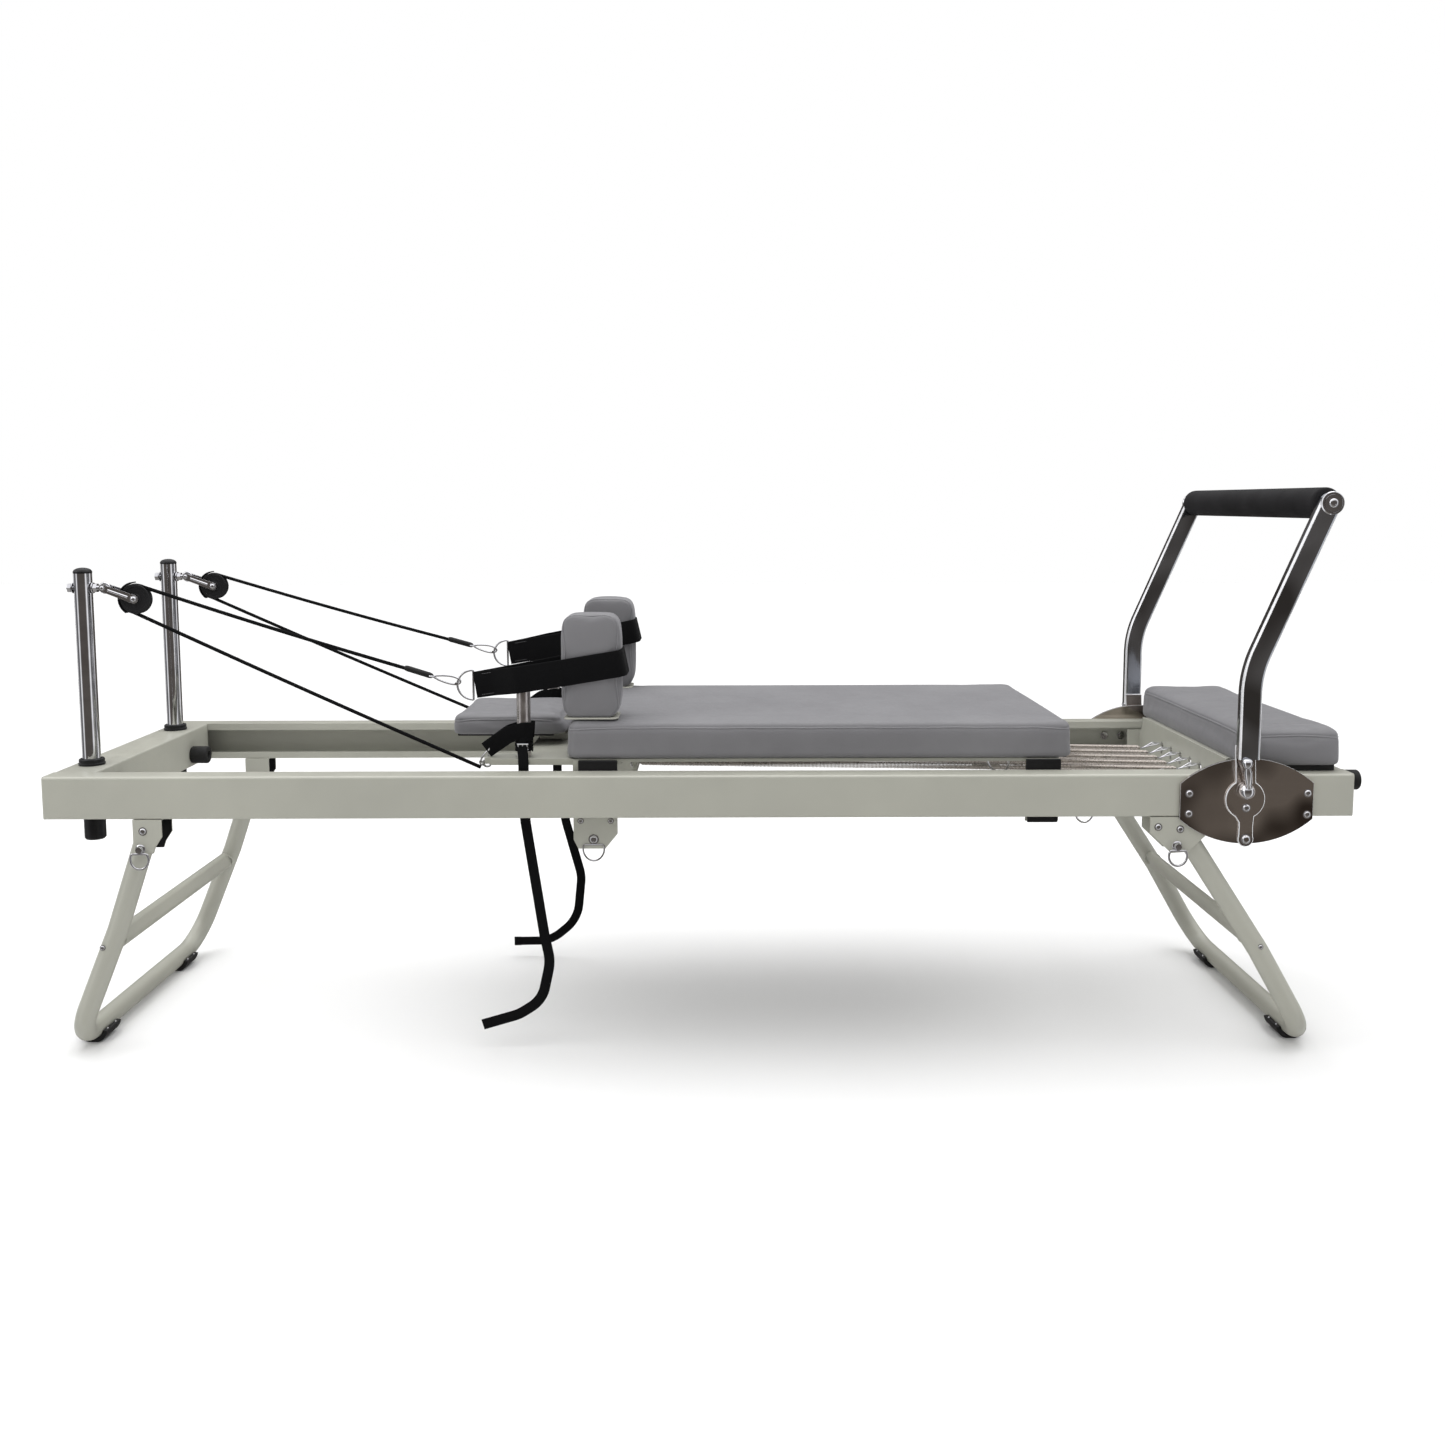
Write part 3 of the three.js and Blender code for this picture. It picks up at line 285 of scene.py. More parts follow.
# the piping is tinted lighter than the leatherette: a painted highlight along the seams
PIPING_PAINTED_HIGHLIGHT = leatherette(1.22, "leatherette_piping_painted_highlight")
WEBBING = woven()
BRAID = woven("braided_rope", 0.0042, 0.0024)
PLASTIC = moulded("black_plastic", "black_plastic", (0.009, 0.009, 0.01), 0.4, 500, 0.05 * MM)
RUBBER = moulded("black_rubber", "black_rubber", (0.01, 0.01, 0.01), 0.6, 300, 0.12 * MM)
FOAM = moulded("grip_foam", "foam_grip", (0.0115, 0.011, 0.012), 0.72, 1400, 0.25 * MM, 0.2)
BOARD = moulded("painted_board", "black_plastic", (0.012, 0.012, 0.012), 0.7, 120, 0.15 * MM)
CHROME = metal("chrome", "bright_chrome", (0.70, 0.70, 0.72), 0.06)
SATIN = metal("satin_steel", "bright_chrome", (0.56, 0.53, 0.52), 0.3, (40, 40, 900))
WIRE = metal("spring_wire", "bright_chrome", (0.62, 0.57, 0.52), 0.26)
# footbar arm steel: its dark grey blotches are painted reflection of a dim room
MIRROR_STEEL_PAINTED_DARK = metal("mirror_steel_painted_dark_reflection", "mirror_steel", (0.62, 0.66, 0.72), 0.09,
             brushed=(900, 900, 25), painted_reflection_tone=(0.24, 0.24, 0.245))
# keyhole plate steel: its dark brown blotches are painted reflection of a dim room
PLATE = metal("brushed_plate_steel_painted_reflection", "mirror_steel", (0.72, 0.65, 0.59), 0.13,
              brushed=(12, 700, 700), painted_reflection_tone=(0.17, 0.14, 0.12))
# lighter, half-metallic strip for rounded edges: a painted highlight
EDGE = metal("edge_painted_highlight", "mirror_steel", (0.86, 0.86, 0.88), 0.2, metallic=0.35)


# ------------------------------------------------------------------ mesh helpers

def settle(obj, body, material):
    """Gives a piece its body and its material."""
    obj.data.materials.clear()
    obj.data.materials.append(material)
    if body:
        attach(obj, body)
    return obj


def mesh_object(name, verts, faces, uvs=None, smooth=True):
    mesh = bpy.data.meshes.new(name)
    mesh.from_pydata([tuple(v) for v in verts], [], [tuple(f) for f in faces])
    if uvs is not None:
        layer = mesh.uv_layers.new(name="UVMap")
        layer.data.foreach_set("uv", np.array(uvs, np.float32).ravel())
    if smooth:
        mesh.shade_smooth()
        mesh.set_sharp_from_angle(angle=math.radians(38))
    obj = bpy.data.objects.new(name, mesh)
    bpy.context.scene.collection.objects.link(obj)
    return obj


def tidy_mesh(obj, sharp=38):
    """Merges doubled points, turns faces outwards and keeps edges sharper than the angle crisp."""
    bm = bmesh.new()
    bm.from_mesh(obj.data)
    bmesh.ops.remove_doubles(bm, verts=bm.verts, dist=1e-6)
    bmesh.ops.dissolve_degenerate(bm, edges=bm.edges, dist=1e-7)
    bmesh.ops.recalc_face_normals(bm, faces=bm.faces)
    bm.to_mesh(obj.data)
    bm.free()
    obj.data.shade_smooth()
    obj.data.set_sharp_from_angle(angle=math.radians(sharp))
    return obj


def soften(obj, width, segments=2, angle=32, rim=None):
    """Rounds the sharp edges; rim is the material of the rounded strip, where it differs."""
    bevel = obj.modifiers.new("edges", "BEVEL")
    if rim:
        obj.data.materials.append(rim)
        bevel.material = len(obj.data.materials) - 1
    bevel.width = width
    bevel.segments = segments
    bevel.limit_method = "ANGLE"
    bevel.angle_limit = math.radians(angle)
    bevel.harden_normals = True
    return obj


def joined(name, pieces):
    """One mesh object from several."""
    bm = bmesh.new()
    for piece in pieces:
        bm.from_mesh(piece.data)
        data = piece.data
        bpy.data.objects.remove(piece)
        bpy.data.meshes.remove(data)
    mesh = bpy.data.meshes.new(name)
    bm.to_mesh(mesh)
    bm.free()
    mesh.shade_smooth()
    mesh.set_sharp_from_angle(angle=math.radians(38))
    obj = bpy.data.objects.new(name, mesh)
    bpy.context.scene.collection.objects.link(obj)
    return obj


def fillet(points, radius, segments=8):
    """A polyline whose corners are arcs of the given radius, or as large as fits."""
    points = [Vector(p) for p in points]
    path = [points[0]]
    for before, corner, after in zip(points, points[1:], points[2:]):
        a, b = (before - corner), (after - corner)
        room = 0.49 * min(a.length, b.length)
        a.normalize()
        b.normalize()
        half = a.angle(b) / 2
        cut = min(radius / math.tan(half), room)
        centre = corner + (a + b).normalized() * (cut / math.cos(half))
        start = corner + a * cut - centre
        end = corner + b * cut - centre
        axis, turn = start.cross(end), start.angle(end)
        path += [centre + Matrix.Rotation(turn * i / segments, 3, axis) @ start for i in range(segments + 1)]
    path.append(points[-1])
    return path


def circle(radius, sides=16):
    return [(radius * math.cos(2 * math.pi * i / sides), radius * math.sin(2 * math.pi * i / sides))
            for i in range(sides)]


def hoop(centre, radius, count, height=None):
    """Points of a circle, or an ellipse of another height, in a plane across Y."""
    tall = radius if height is None else height
    return [centre + Vector((radius * math.cos(t), 0, tall * math.sin(t)))
            for t in np.linspace(0, 2 * math.pi, count + 1)[:-1]]


def in_mm(points):
    """A profile or outline given in millimetres."""
    return [(a * MM, b * MM) for a, b in points]


def mirrored(profile):
    """A profile followed by its mirror image on the other side of its middle plane."""
    return profile + [(a, -b) for a, b in reversed(profile)]


def rounded_rectangle(width, height, radius, segments=5):
    outline = []
    for k, (sx, sy) in enumerate(((1, 1), (-1, 1), (-1, -1), (1, -1))):
        cx, cy = sx * (width / 2 - radius), sy * (height / 2 - radius)
        for i in range(segments + 1):
            turn = math.pi / 2 * (k + i / segments)
            outline.append((cx + radius * math.cos(turn), cy + radius * math.sin(turn)))
    return outline


def sweep(name, path, section, up=(0, 0, 1), closed=False, scale=None):
    """A closed section carried along a path; its first axis starts out across up, its second near up."""
    path = np.array([tuple(p) for p in path], float)
    n, m = len(path), len(section)
    if closed:
        tangents = np.roll(path, -1, 0) - np.roll(path, 1, 0)
    else:
        tangents = np.gradient(path, axis=0)
    tangents /= np.linalg.norm(tangents, axis=1)[:, None]
    side = np.cross(tangents[0], np.array(up, float))
    sides = [side / np.linalg.norm(side)]
    for t in tangents[1:]:
        s = sides[-1] - t * (sides[-1] @ t)
        sides.append(s / np.linalg.norm(s))
    sides = np.array(sides)
    ups = np.cross(sides, tangents)
    shape = np.array(section, float)
    grow = np.ones(n) if scale is None else np.array(scale, float)
    rings = path[:, None] + grow[:, None, None] * (
        shape[None, :, 0, None] * sides[:, None] + shape[None, :, 1, None] * ups[:, None])
    verts = rings.reshape(-1, 3)
    steps = n if closed else n - 1
    length = np.concatenate([[0], np.cumsum(np.linalg.norm(np.diff(path, axis=0), axis=1))])
    if closed:
        length = np.append(length, length[-1] + np.linalg.norm(path[0] - path[-1]))
    edge = np.linalg.norm(np.roll(shape, -1, 0) - shape, axis=1)
    girth = np.concatenate([[0], np.cumsum(edge)])
    faces, uvs = [], []
    for i in range(steps):
        j = (i + 1) % n
        for k in range(m):
            q = (k + 1) % m
            faces.append((i * m + k, i * m + q, j * m + q, j * m + k))
            uvs += [(length[i], girth[k]), (length[i], girth[k + 1]),
                    (length[i + 1], girth[k + 1]), (length[i + 1], girth[k])]
    if not closed:
        faces.append(tuple(range(m - 1, -1, -1)))
        faces.append(tuple((n - 1) * m + k for k in range(m)))
        uvs += [(0, 0)] * (2 * m)
    obj = mesh_object(name, verts, faces, uvs)
    bm = bmesh.new()
    bm.from_mesh(obj.data)
    bmesh.ops.recalc_face_normals(bm, faces=bm.faces)
    bm.to_mesh(obj.data)
    bm.free()
    return obj


def tube(name, path, radius, sides=16, closed=False, up=(0, 0, 1)):
    return sweep(name, path, circle(radius, sides), up, closed)


def lathe(name, profile, centre, axis, sides=40):
    """A (radius, height) profile turned about an axis through centre. It starts and ends on the axis."""
    axis = Vector(axis).normalized()
    u = axis.orthogonal().normalized()
    v = axis.cross(u)
    verts = []
    for i in range(sides):
        turn = 2 * math.pi * i / sides
        out = u * math.cos(turn) + v * math.sin(turn)
        verts += [Vector(centre) + out * r + axis * h for r, h in profile]
    m = len(profile)
    faces = [(i * m + k, i * m + k + 1, ((i + 1) % sides) * m + k + 1, ((i + 1) % sides) * m + k)
             for i in range(sides) for k in range(m - 1)]
    return tidy_mesh(mesh_object(name, verts, faces, smooth=False))


def ringed(name, profile, centre, axis, sides=40):
    """A turned piece whose profile closes on itself around a hole."""
    return lathe(name, list(profile) + [profile[0]], centre, axis, sides)


def plate(name, outline, origin, u, v, thickness):
    """An outline in the plane of u and v, extruded by thickness along their cross product."""
    u, v = Vector(u), Vector(v)
    lift = u.cross(v).normalized() * thickness
    base = [Vector(origin) + u * a + v * b for a, b in outline]
    n = len(base)
    faces = [tuple(range(n - 1, -1, -1)), tuple(range(n, 2 * n))]
    faces += [(i, (i + 1) % n, n + (i + 1) % n, n + i) for i in range(n)]
    return tidy_mesh(mesh_object(name, base + [p + lift for p in base], faces, smooth=False), 30)


def block(name, low, high):
    """A box between two corners, ready for soften()."""
    low, high = Vector(map(min, low, high)), Vector(map(max, low, high))
    size = high - low
    outline = [(0, 0), (size.x, 0), (size.x, size.y), (0, size.y)]
    return plate(name, outline, low, (1, 0, 0), (0, 1, 0), size.z)


def dome_bolt(name, centre, axis, radius, height, washer=1.25):
    """Round-headed bolt on a thin washer, with a hexagon socket pressed into its crown."""
    r, h = radius, height
    socket = 0.42 * r
    profile = [(0, 0.45 * h), (socket, 0.45 * h), (socket * 1.08, h)]
    profile += [(socket + (r - socket) * math.sin(t), h * math.cos(t) * 0.86 + 0.14 * h)
                for t in (0.35, 0.7, 1.0, 1.25, 1.5)]
    profile += [(r, 0.12 * h), (r * washer, 0.1 * h), (r * washer, -0.05 * h), (0, -0.05 * h)]
    return lathe(name, profile, centre, axis, 24)


def bolt(name, spot, out, radius, height, body="frame"):
    """A chrome dome bolt on a body, its sizes in millimetres."""
    return settle(dome_bolt(name, spot, out, radius * MM, height * MM), body, CHROME)


def hex_nut(name, centre, axis, radius, height, body):
    """A chrome nut on a body, its sizes in millimetres."""
    axis = Vector(axis).normalized()
    u = axis.orthogonal().normalized()
    v = axis.cross(u)
    nut = plate(name, circle(radius * MM, 6), centre, u, v, height * MM)
    return settle(soften(nut, 0.8 * MM), body, CHROME)


def d_ring(name, top, drop, width, wire, along, body):
    """Half-round chrome ring with a straight bar; drop points from the bar to the bow, along lies on the
    bar, and width and wire are in millimetres."""
    drop, along = Vector(drop).normalized(), Vector(along).normalized()
    r = width / 2 * MM
    path = [Vector(top) + along * r * math.cos(t) + drop * r * 1.15 * math.sin(t)
            for t in np.linspace(0, math.pi, 15)]
    corner = fillet([path[0], path[0] - drop * 0.4 * r, path[-1] - drop * 0.4 * r, path[-1]], 0.3 * r, 4)
    loop = path + list(reversed(corner))[1:-1]
    ring = tube(name, loop, wire * MM, 8, closed=True, up=along.cross(drop) + along * 0.01)
    return settle(ring, body, CHROME)


# ------------------------------------------------------------------ kept CAD parts

def finish_cad(node, material, width=0.8 * MM, rim=None):
    """A CAD part that shows: merged facets, softened edges and its material."""
    obj = NODES[node]
    obj.data.materials.clear()
    obj.data.materials.append(material)
    custom = obj.data.attributes.get("custom_normal")
    if custom:
        obj.data.attributes.remove(custom)
    obj.data.shade_smooth()
    weld = obj.modifiers.new("weld", "WELD")
    weld.merge_threshold = 0.01 * MM
    soften(obj, width, rim=rim)
    return obj


for kept in ("head_cross_rail", "foot_cross_rail", "spring_bar", "carriage_frame"):
    finish_cad(kept, PAINT)
for name, _ in SIDES:
    for kept in ("rail", "leg_bracket_head", "leg_bracket_foot"):
        finish_cad(f"{kept}_{name}", PAINT)
    # the plates' rounded rims take the lighter edge strip: painted highlight
    finish_cad(f"footbar_plate_{name}", PLATE, 2.6 * MM, EDGE)

# the facing sides of the leg hinges' cheeks take the black plastic material: painted shade between the
# cheeks
for name, _ in SIDES:
    bracket = NODES[f"leg_bracket_head_{name}"]
    bracket.data.materials.append(PLASTIC)
    for face in bracket.data.polygons:
        depth = abs(face.center.y)
        between = RAIL_INNER - 1 * MM < depth < RAIL_FACE - 2 * MM and face.center.z < RAIL_LOW.z - 1 * MM
        face.material_index = 1 if between and abs(face.normal.y) > 0.9 else 0

# the strap posts and shoulder-rest pins on the carriage chassis are bare steel
chassis = NODES["carriage_frame"]
chassis.data.materials.append(SATIN)
ARM_TOP = z_at(536)
for face in chassis.data.polygons:
    heights = [chassis.data.vertices[i].co.z for i in face.vertices]
    face.material_index = 1 if max(heights) > ARM_TOP + 20 * MM else 0


# ------------------------------------------------------------------ rope posts

def rope_post(name):
    """The chrome post with its cap, its sleeve in the rail and the eye bolt that carries the pulley."""
    low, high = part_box(f"pulley_post_{name}")
    middle = mid(f"pulley_post_{name}")
    r, height = (high.x - low.x) / 2, high.z - low.z
    bar = [(0, 0), (r, 0), (r, height), (0, height)]
    post = lathe(f"rope_post_{name}", bar, Vector((middle.x, middle.y, low.z)), (0, 0, 1), 64)
    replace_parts(settle(post, "frame", CHROME), f"pulley_post_{name}")

    crown = [(0, -4 * MM), (r * 0.96, -4 * MM), (r * 1.03, 0.2 * MM), (r * 1.03, 1.6 * MM)]
    crown += [(r * math.cos(t), 1.6 * MM + 7.2 * MM * math.sin(t)) for t in np.linspace(0.15, 1.45, 8)]
    crown.append((0, 8.8 * MM))
    cap = lathe(f"post_dome_{name}", crown, Vector((middle.x, middle.y, high.z)), (0, 0, 1), 48)
    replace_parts(settle(cap, "frame", PLASTIC), f"post_cap_{name}")

    top = RAIL_HIGH.z
    cup = (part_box(f"post_sleeve_{name}")[0].z - top) / MM
    profile = in_mm([(16.4, 2), (17.2, 11), (19.5, 12), (21.5, 11), (22.2, 8), (21.6, 5), (23, 4), (23, 0.4),
                     (18.7, 0.3), (18.6, cup + 3), (16, cup), (0, cup), (0, cup + 2), (16.4, cup + 2)])
    sleeve = ringed(f"post_collar_{name}", profile, Vector((middle.x, middle.y, top)), (0, 0, 1), 48)
    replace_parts(settle(sleeve, "frame", PLASTIC), f"post_sleeve_{name}")

    eye = pivot(f"pulley_arm_{name}_swing")
    parts = [tube("ring", hoop(eye, 8 * MM, 24), 2.8 * MM, 12, closed=True, up=(0, 1, 0)),
             tube("shank", [eye + shift(-67), eye + shift(-7.5)], 4 * MM, 20)]
    for start, length, reach, sides in ((-66, 7, 8.6, 6), (-57.5, 1.5, 9.8, 28),
                                        (-22, 2, 9.8, 28), (-19.5, 7, 8.6, 6)):
        outline = circle(reach * MM, sides)
        parts.append(plate("nut", outline, eye + shift(start), (0, 1, 0), (0, 0, 1), length * MM))
    eye_bolt = soften(joined(f"eye_bolt_set_{name}", parts), 0.5 * MM)
    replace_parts(settle(eye_bolt, "frame", CHROME), f"eye_bolt_{name}")


# ------------------------------------------------------------------ pulleys and ropes

# height of the hand loops' rings in mm, and the rise of their bands per length
LOOP = {"near": dict(z=664, slope=0.163), "far": dict(z=677, slope=0.185)}
WRAP_RADIUS = 24.6 * MM
ROPE_RADIUS = 3.3 * MM


def pulley_set(name):
    """The hanger with its guard, and the sheave in it."""
    eye = pivot(f"pulley_arm_{name}_swing")
    hub = pivot(f"pulley_{name}_spin")
    run = hub - eye
    u = run.normalized()
    v = Vector((0, 1, 0)).cross(u)
    length, thick, outer, washer = run.length, 2.6, 12.2, 1.3
    half_turn = np.linspace(-math.pi / 2, math.pi / 2, 11)
    outline = [(-6.5 * MM * math.cos(t), -6.5 * MM * math.sin(t)) for t in half_turn]
    outline += [(length + 8 * MM * math.cos(t), 8 * MM * math.sin(t)) for t in half_turn]
    parts = []
    for face in (-1, 1):
        base = eye + shift(y=outer - thick if face > 0 else -outer)
        strap = plate("strap", outline, base, u, v, thick * MM)
        spine = eye + u * 11 * MM + shift(y=face * (outer + 0.1))
        ridge = tube("ridge", [spine, spine + u * (length - 22 * MM)], 2.3 * MM, 12)
        out = Vector((0, face, 0))
        parts += [strap, ridge,
                  dome_bolt("head", hub + out * outer * MM, out, 5.2 * MM, 4 * MM, washer),
                  dome_bolt("head", eye + out * outer * MM, out, 4 * MM, 3 * MM, washer)]
    parts.append(tube("axle", [hub - shift(y=12), hub + shift(y=12)], 3.8 * MM, 20, up=u))
    parts.append(tube("pin", [eye - shift(y=12), eye + shift(y=12)], 2.4 * MM, 16, up=u))
    hanger = soften(joined(f"pulley_hanger_{name}", parts), 0.5 * MM)
    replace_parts(settle(hanger, f"pulley_arm_{name}", CHROME), f"pulley_arm_{name}")

    # curved guard over the head side of the sheave, held by the hanger
    guard = [hub + shift(30.2 * math.cos(t), 0, 30.2 * math.sin(t))
             for t in np.linspace(math.radians(95), math.radians(235), 15)]
    section = rounded_rectangle(15.5 * MM, 2.2 * MM, 1 * MM, 2)
    cover = sweep(f"pulley_guard_{name}", guard, section, up=(1, 0, 0.1))
    settle(cover, f"pulley_arm_{name}", PLASTIC)

    groove = [(4.2, -7.4), (9, -7.4), (10, -6.4), (21, -6.4), (22, -7.4), (26.2, -7.4), (27, -6.6),
              (27, -6.0), (24.4, -3.9), (22.4, -2.7), (21.6, -1)]
    sheave = ringed(f"sheave_{name}", in_mm(mirrored(groove)), hub, (0, 1, 0), 64)
    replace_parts(settle(sheave, f"pulley_{name}", PLASTIC), f"pulley_{name}")


def shorten(piece):
    """The piece rides on the carriage, with a mesh of its own."""
    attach(piece, "carriage")
    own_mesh(piece)


def rope_set(name, side):
    hub = pivot(f"pulley_{name}_spin")
    ring = at(-408, side * 204, LOOP[name]["z"])
    high_end = at(-488, side * 203.4, LOOP[name]["z"] + 17)
    low_end = at(-398, side * 218, 515)

    def touch(end, upper):
        dx, dz = end.x - hub.x, end.z - hub.z
        return math.atan2(dz, dx) + upper * math.acos(WRAP_RADIUS / math.hypot(dx, dz))

    first, last = touch(high_end, 1), touch(low_end, -1) + 2 * math.pi
    wrap = [hub + WRAP_RADIUS * Vector((math.cos(t), 0, math.sin(t))) for t in np.linspace(first, last, 28)]
    around = tube(f"rope_wrap_{name}", wrap, ROPE_RADIUS, 14, up=(0, 1, 0))
    settle(around, f"pulley_arm_{name}", BRAID)
    for label, start, end, sag in (("upper", wrap[0], high_end, 3), ("lower", wrap[-1], low_end, 2)):
        points = [start.lerp(end, t) - shift(z=sag * math.sin(math.pi * t)) for t in np.linspace(0, 1, 24)]
        straight = tube(f"rope_{label}_{name}", points, ROPE_RADIUS, 14)
        settle(straight, None, BRAID)
        shorten(straight)
        if label == "upper":
            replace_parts(straight, f"rope_{name}")

    # crimp sleeve and snap hook with its eye, towards the hand loop's ring
    along = (high_end - wrap[0]).normalized()
    sleeve_end = high_end + along * 4 * MM
    sleeve_start = high_end - along * 50 * MM
    shape = [sleeve_start.lerp(sleeve_end, t) for t in (0, 0.04, 0.12, 0.5, 0.88, 0.96, 1)]
    sleeve = sweep(f"rope_sleeve_{name}", shape, circle(5.4 * MM, 18), scale=(0.6, 0.85, 1, 1, 1, 0.85, 0.6))
    settle(sleeve, "carriage", RUBBER)
    hook_start = sleeve_end + along * 2 * MM
    hook_end = ring - (ring - hook_start).normalized() * 27 * MM
    snap_hook(f"snap_hook_{name}", hook_start, hook_end, 9 * MM, 2 * MM)


def snap_hook(name, start, end, width, wire):
    """Pear-shaped spring hook between two points, with its gate and pivot bead."""
    along = (end - start).normalized()
    across = Vector((0, 1, 0)).cross(along).normalized()
    length = (end - start).length
    path = []
    for t in np.linspace(0, 2 * math.pi, 33)[:-1]:
        x = (1 - math.cos(t)) / 2
        spread = math.sin(t) * (0.45 + 0.55 * x)
        path.append(start + along * length * x + across * width * spread)
    body = tube("body", path, wire, 10, closed=True, up=(0, 1, 0))
    eyelet = [start + along * (5 * math.cos(t) - 4) * MM + shift(y=5 * math.sin(t))
              for t in np.linspace(0, 2 * math.pi, 17)[:-1]]
    eye_ring = tube("eye", eyelet, wire * 0.9, 8, closed=True, up=tuple(across))
    bead = lathe("bead", in_mm([(0, -3), (2.6, -2.4), (2.9, 0), (2.6, 2.4), (0, 3)]),
                 start + along * length * 0.86 + across * width * 0.55, (0, 1, 0), 16)
    settle(joined(name, [body, eye_ring, bead]), "carriage", CHROME)


# ------------------------------------------------------------------ webbing

STRAP_POST_X = -318                # the carriage's strap posts, in mm
WRAP_REACH = 15.1                  # from a strap post's axis to the webbing around it, in mm


def ribbon(name, path, width, thickness, up):
    """Flat webbing on the carriage, its width along up, with rounded selvedges."""
    section = rounded_rectangle(thickness, width, thickness * 0.49, 3)
    return settle(sweep(name, path, section, up), "carriage", WEBBING)


def hand_loop(name, side):
    """The webbing loop around a shoulder rest, its stitching and its D-ring."""
    pad_low, pad_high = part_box(f"shoulder_pad_{name}")
    middle = mid(f"shoulder_pad_{name}").y
    ring_x, ring_z = x_at(-408), z_at(LOOP[name]["z"])
    slope, height, thick = LOOP[name]["slope"], 48 * MM, 3.4 * MM
    half = (pad_high.y - pad_low.y) / 2 + 3.4 * MM
    right = pad_high.x + 4.6 * MM

    def point(x, offset):
        return Vector((x, middle + side * offset, ring_z + slope * (x - ring_x)))

    post_x = x_at(STRAP_POST_X)
    corners = [point(ring_x + 1 * MM, 2.5 * MM), point(ring_x + 34 * MM, 9 * MM),
               point(post_x - 12 * MM, 37 * MM), point(pad_low.x + 4 * MM, half + 2.5 * MM),
               point(right, half), point(right, -half),
               point(pad_low.x + 2 * MM, -half - 1 * MM), point(ring_x + 34 * MM, -9 * MM),
               point(ring_x + 1 * MM, -2.5 * MM)]
    path = fillet(corners, 17 * MM, 7)
    dense = []
    for a, b in zip(path, path[1:]):
        count = max(1, int((b - a).length / (6 * MM)))
        dense += [a.lerp(b, i / count) for i in range(count)]
    dense.append(path[-1])
    band = ribbon(f"hand_loop_band_{name}", dense, height, thick, (0, 0, 1))
    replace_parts(band, f"hand_loop_{name}")

    # the two ends are stitched together next to the ring, with a box of thread
    stitches = []
    for face, row, i in itertools.product((-1, 1), (-19, 19), range(9)):
        x = ring_x + (14 + 3.2 * i) * MM
        out = 2.5 + 6.5 * (x - ring_x) / (34 * MM) + thick / MM / 2 + 0.1
        ends = point(x, face * out * MM), point(x + 2 * MM, face * (out + 0.4) * MM)
        stitches.append(tube("stitch", [end + shift(z=row) for end in ends], 0.45 * MM, 6))
    settle(joined(f"hand_loop_stitching_{name}", stitches), "carriage", SEAM)

    bar_x = ring_x - 3 * MM
    top, bottom = point(bar_x, 0) + shift(z=27), point(bar_x, 0) - shift(z=27)
    bow = [Vector((bar_x - 29 * MM * math.sin(t), middle, ring_z + 27 * MM * math.cos(t)))
           for t in np.linspace(0.12, math.pi - 0.12, 21)]
    loop = fillet([bow[-1], bottom, top, bow[0]], 3 * MM, 3)
    ring = tube(f"hand_loop_ring_{name}", bow + loop[1:-1], 2.1 * MM, 10, closed=True, up=(0, 1, 0))
    settle(ring, "carriage", CHROME)


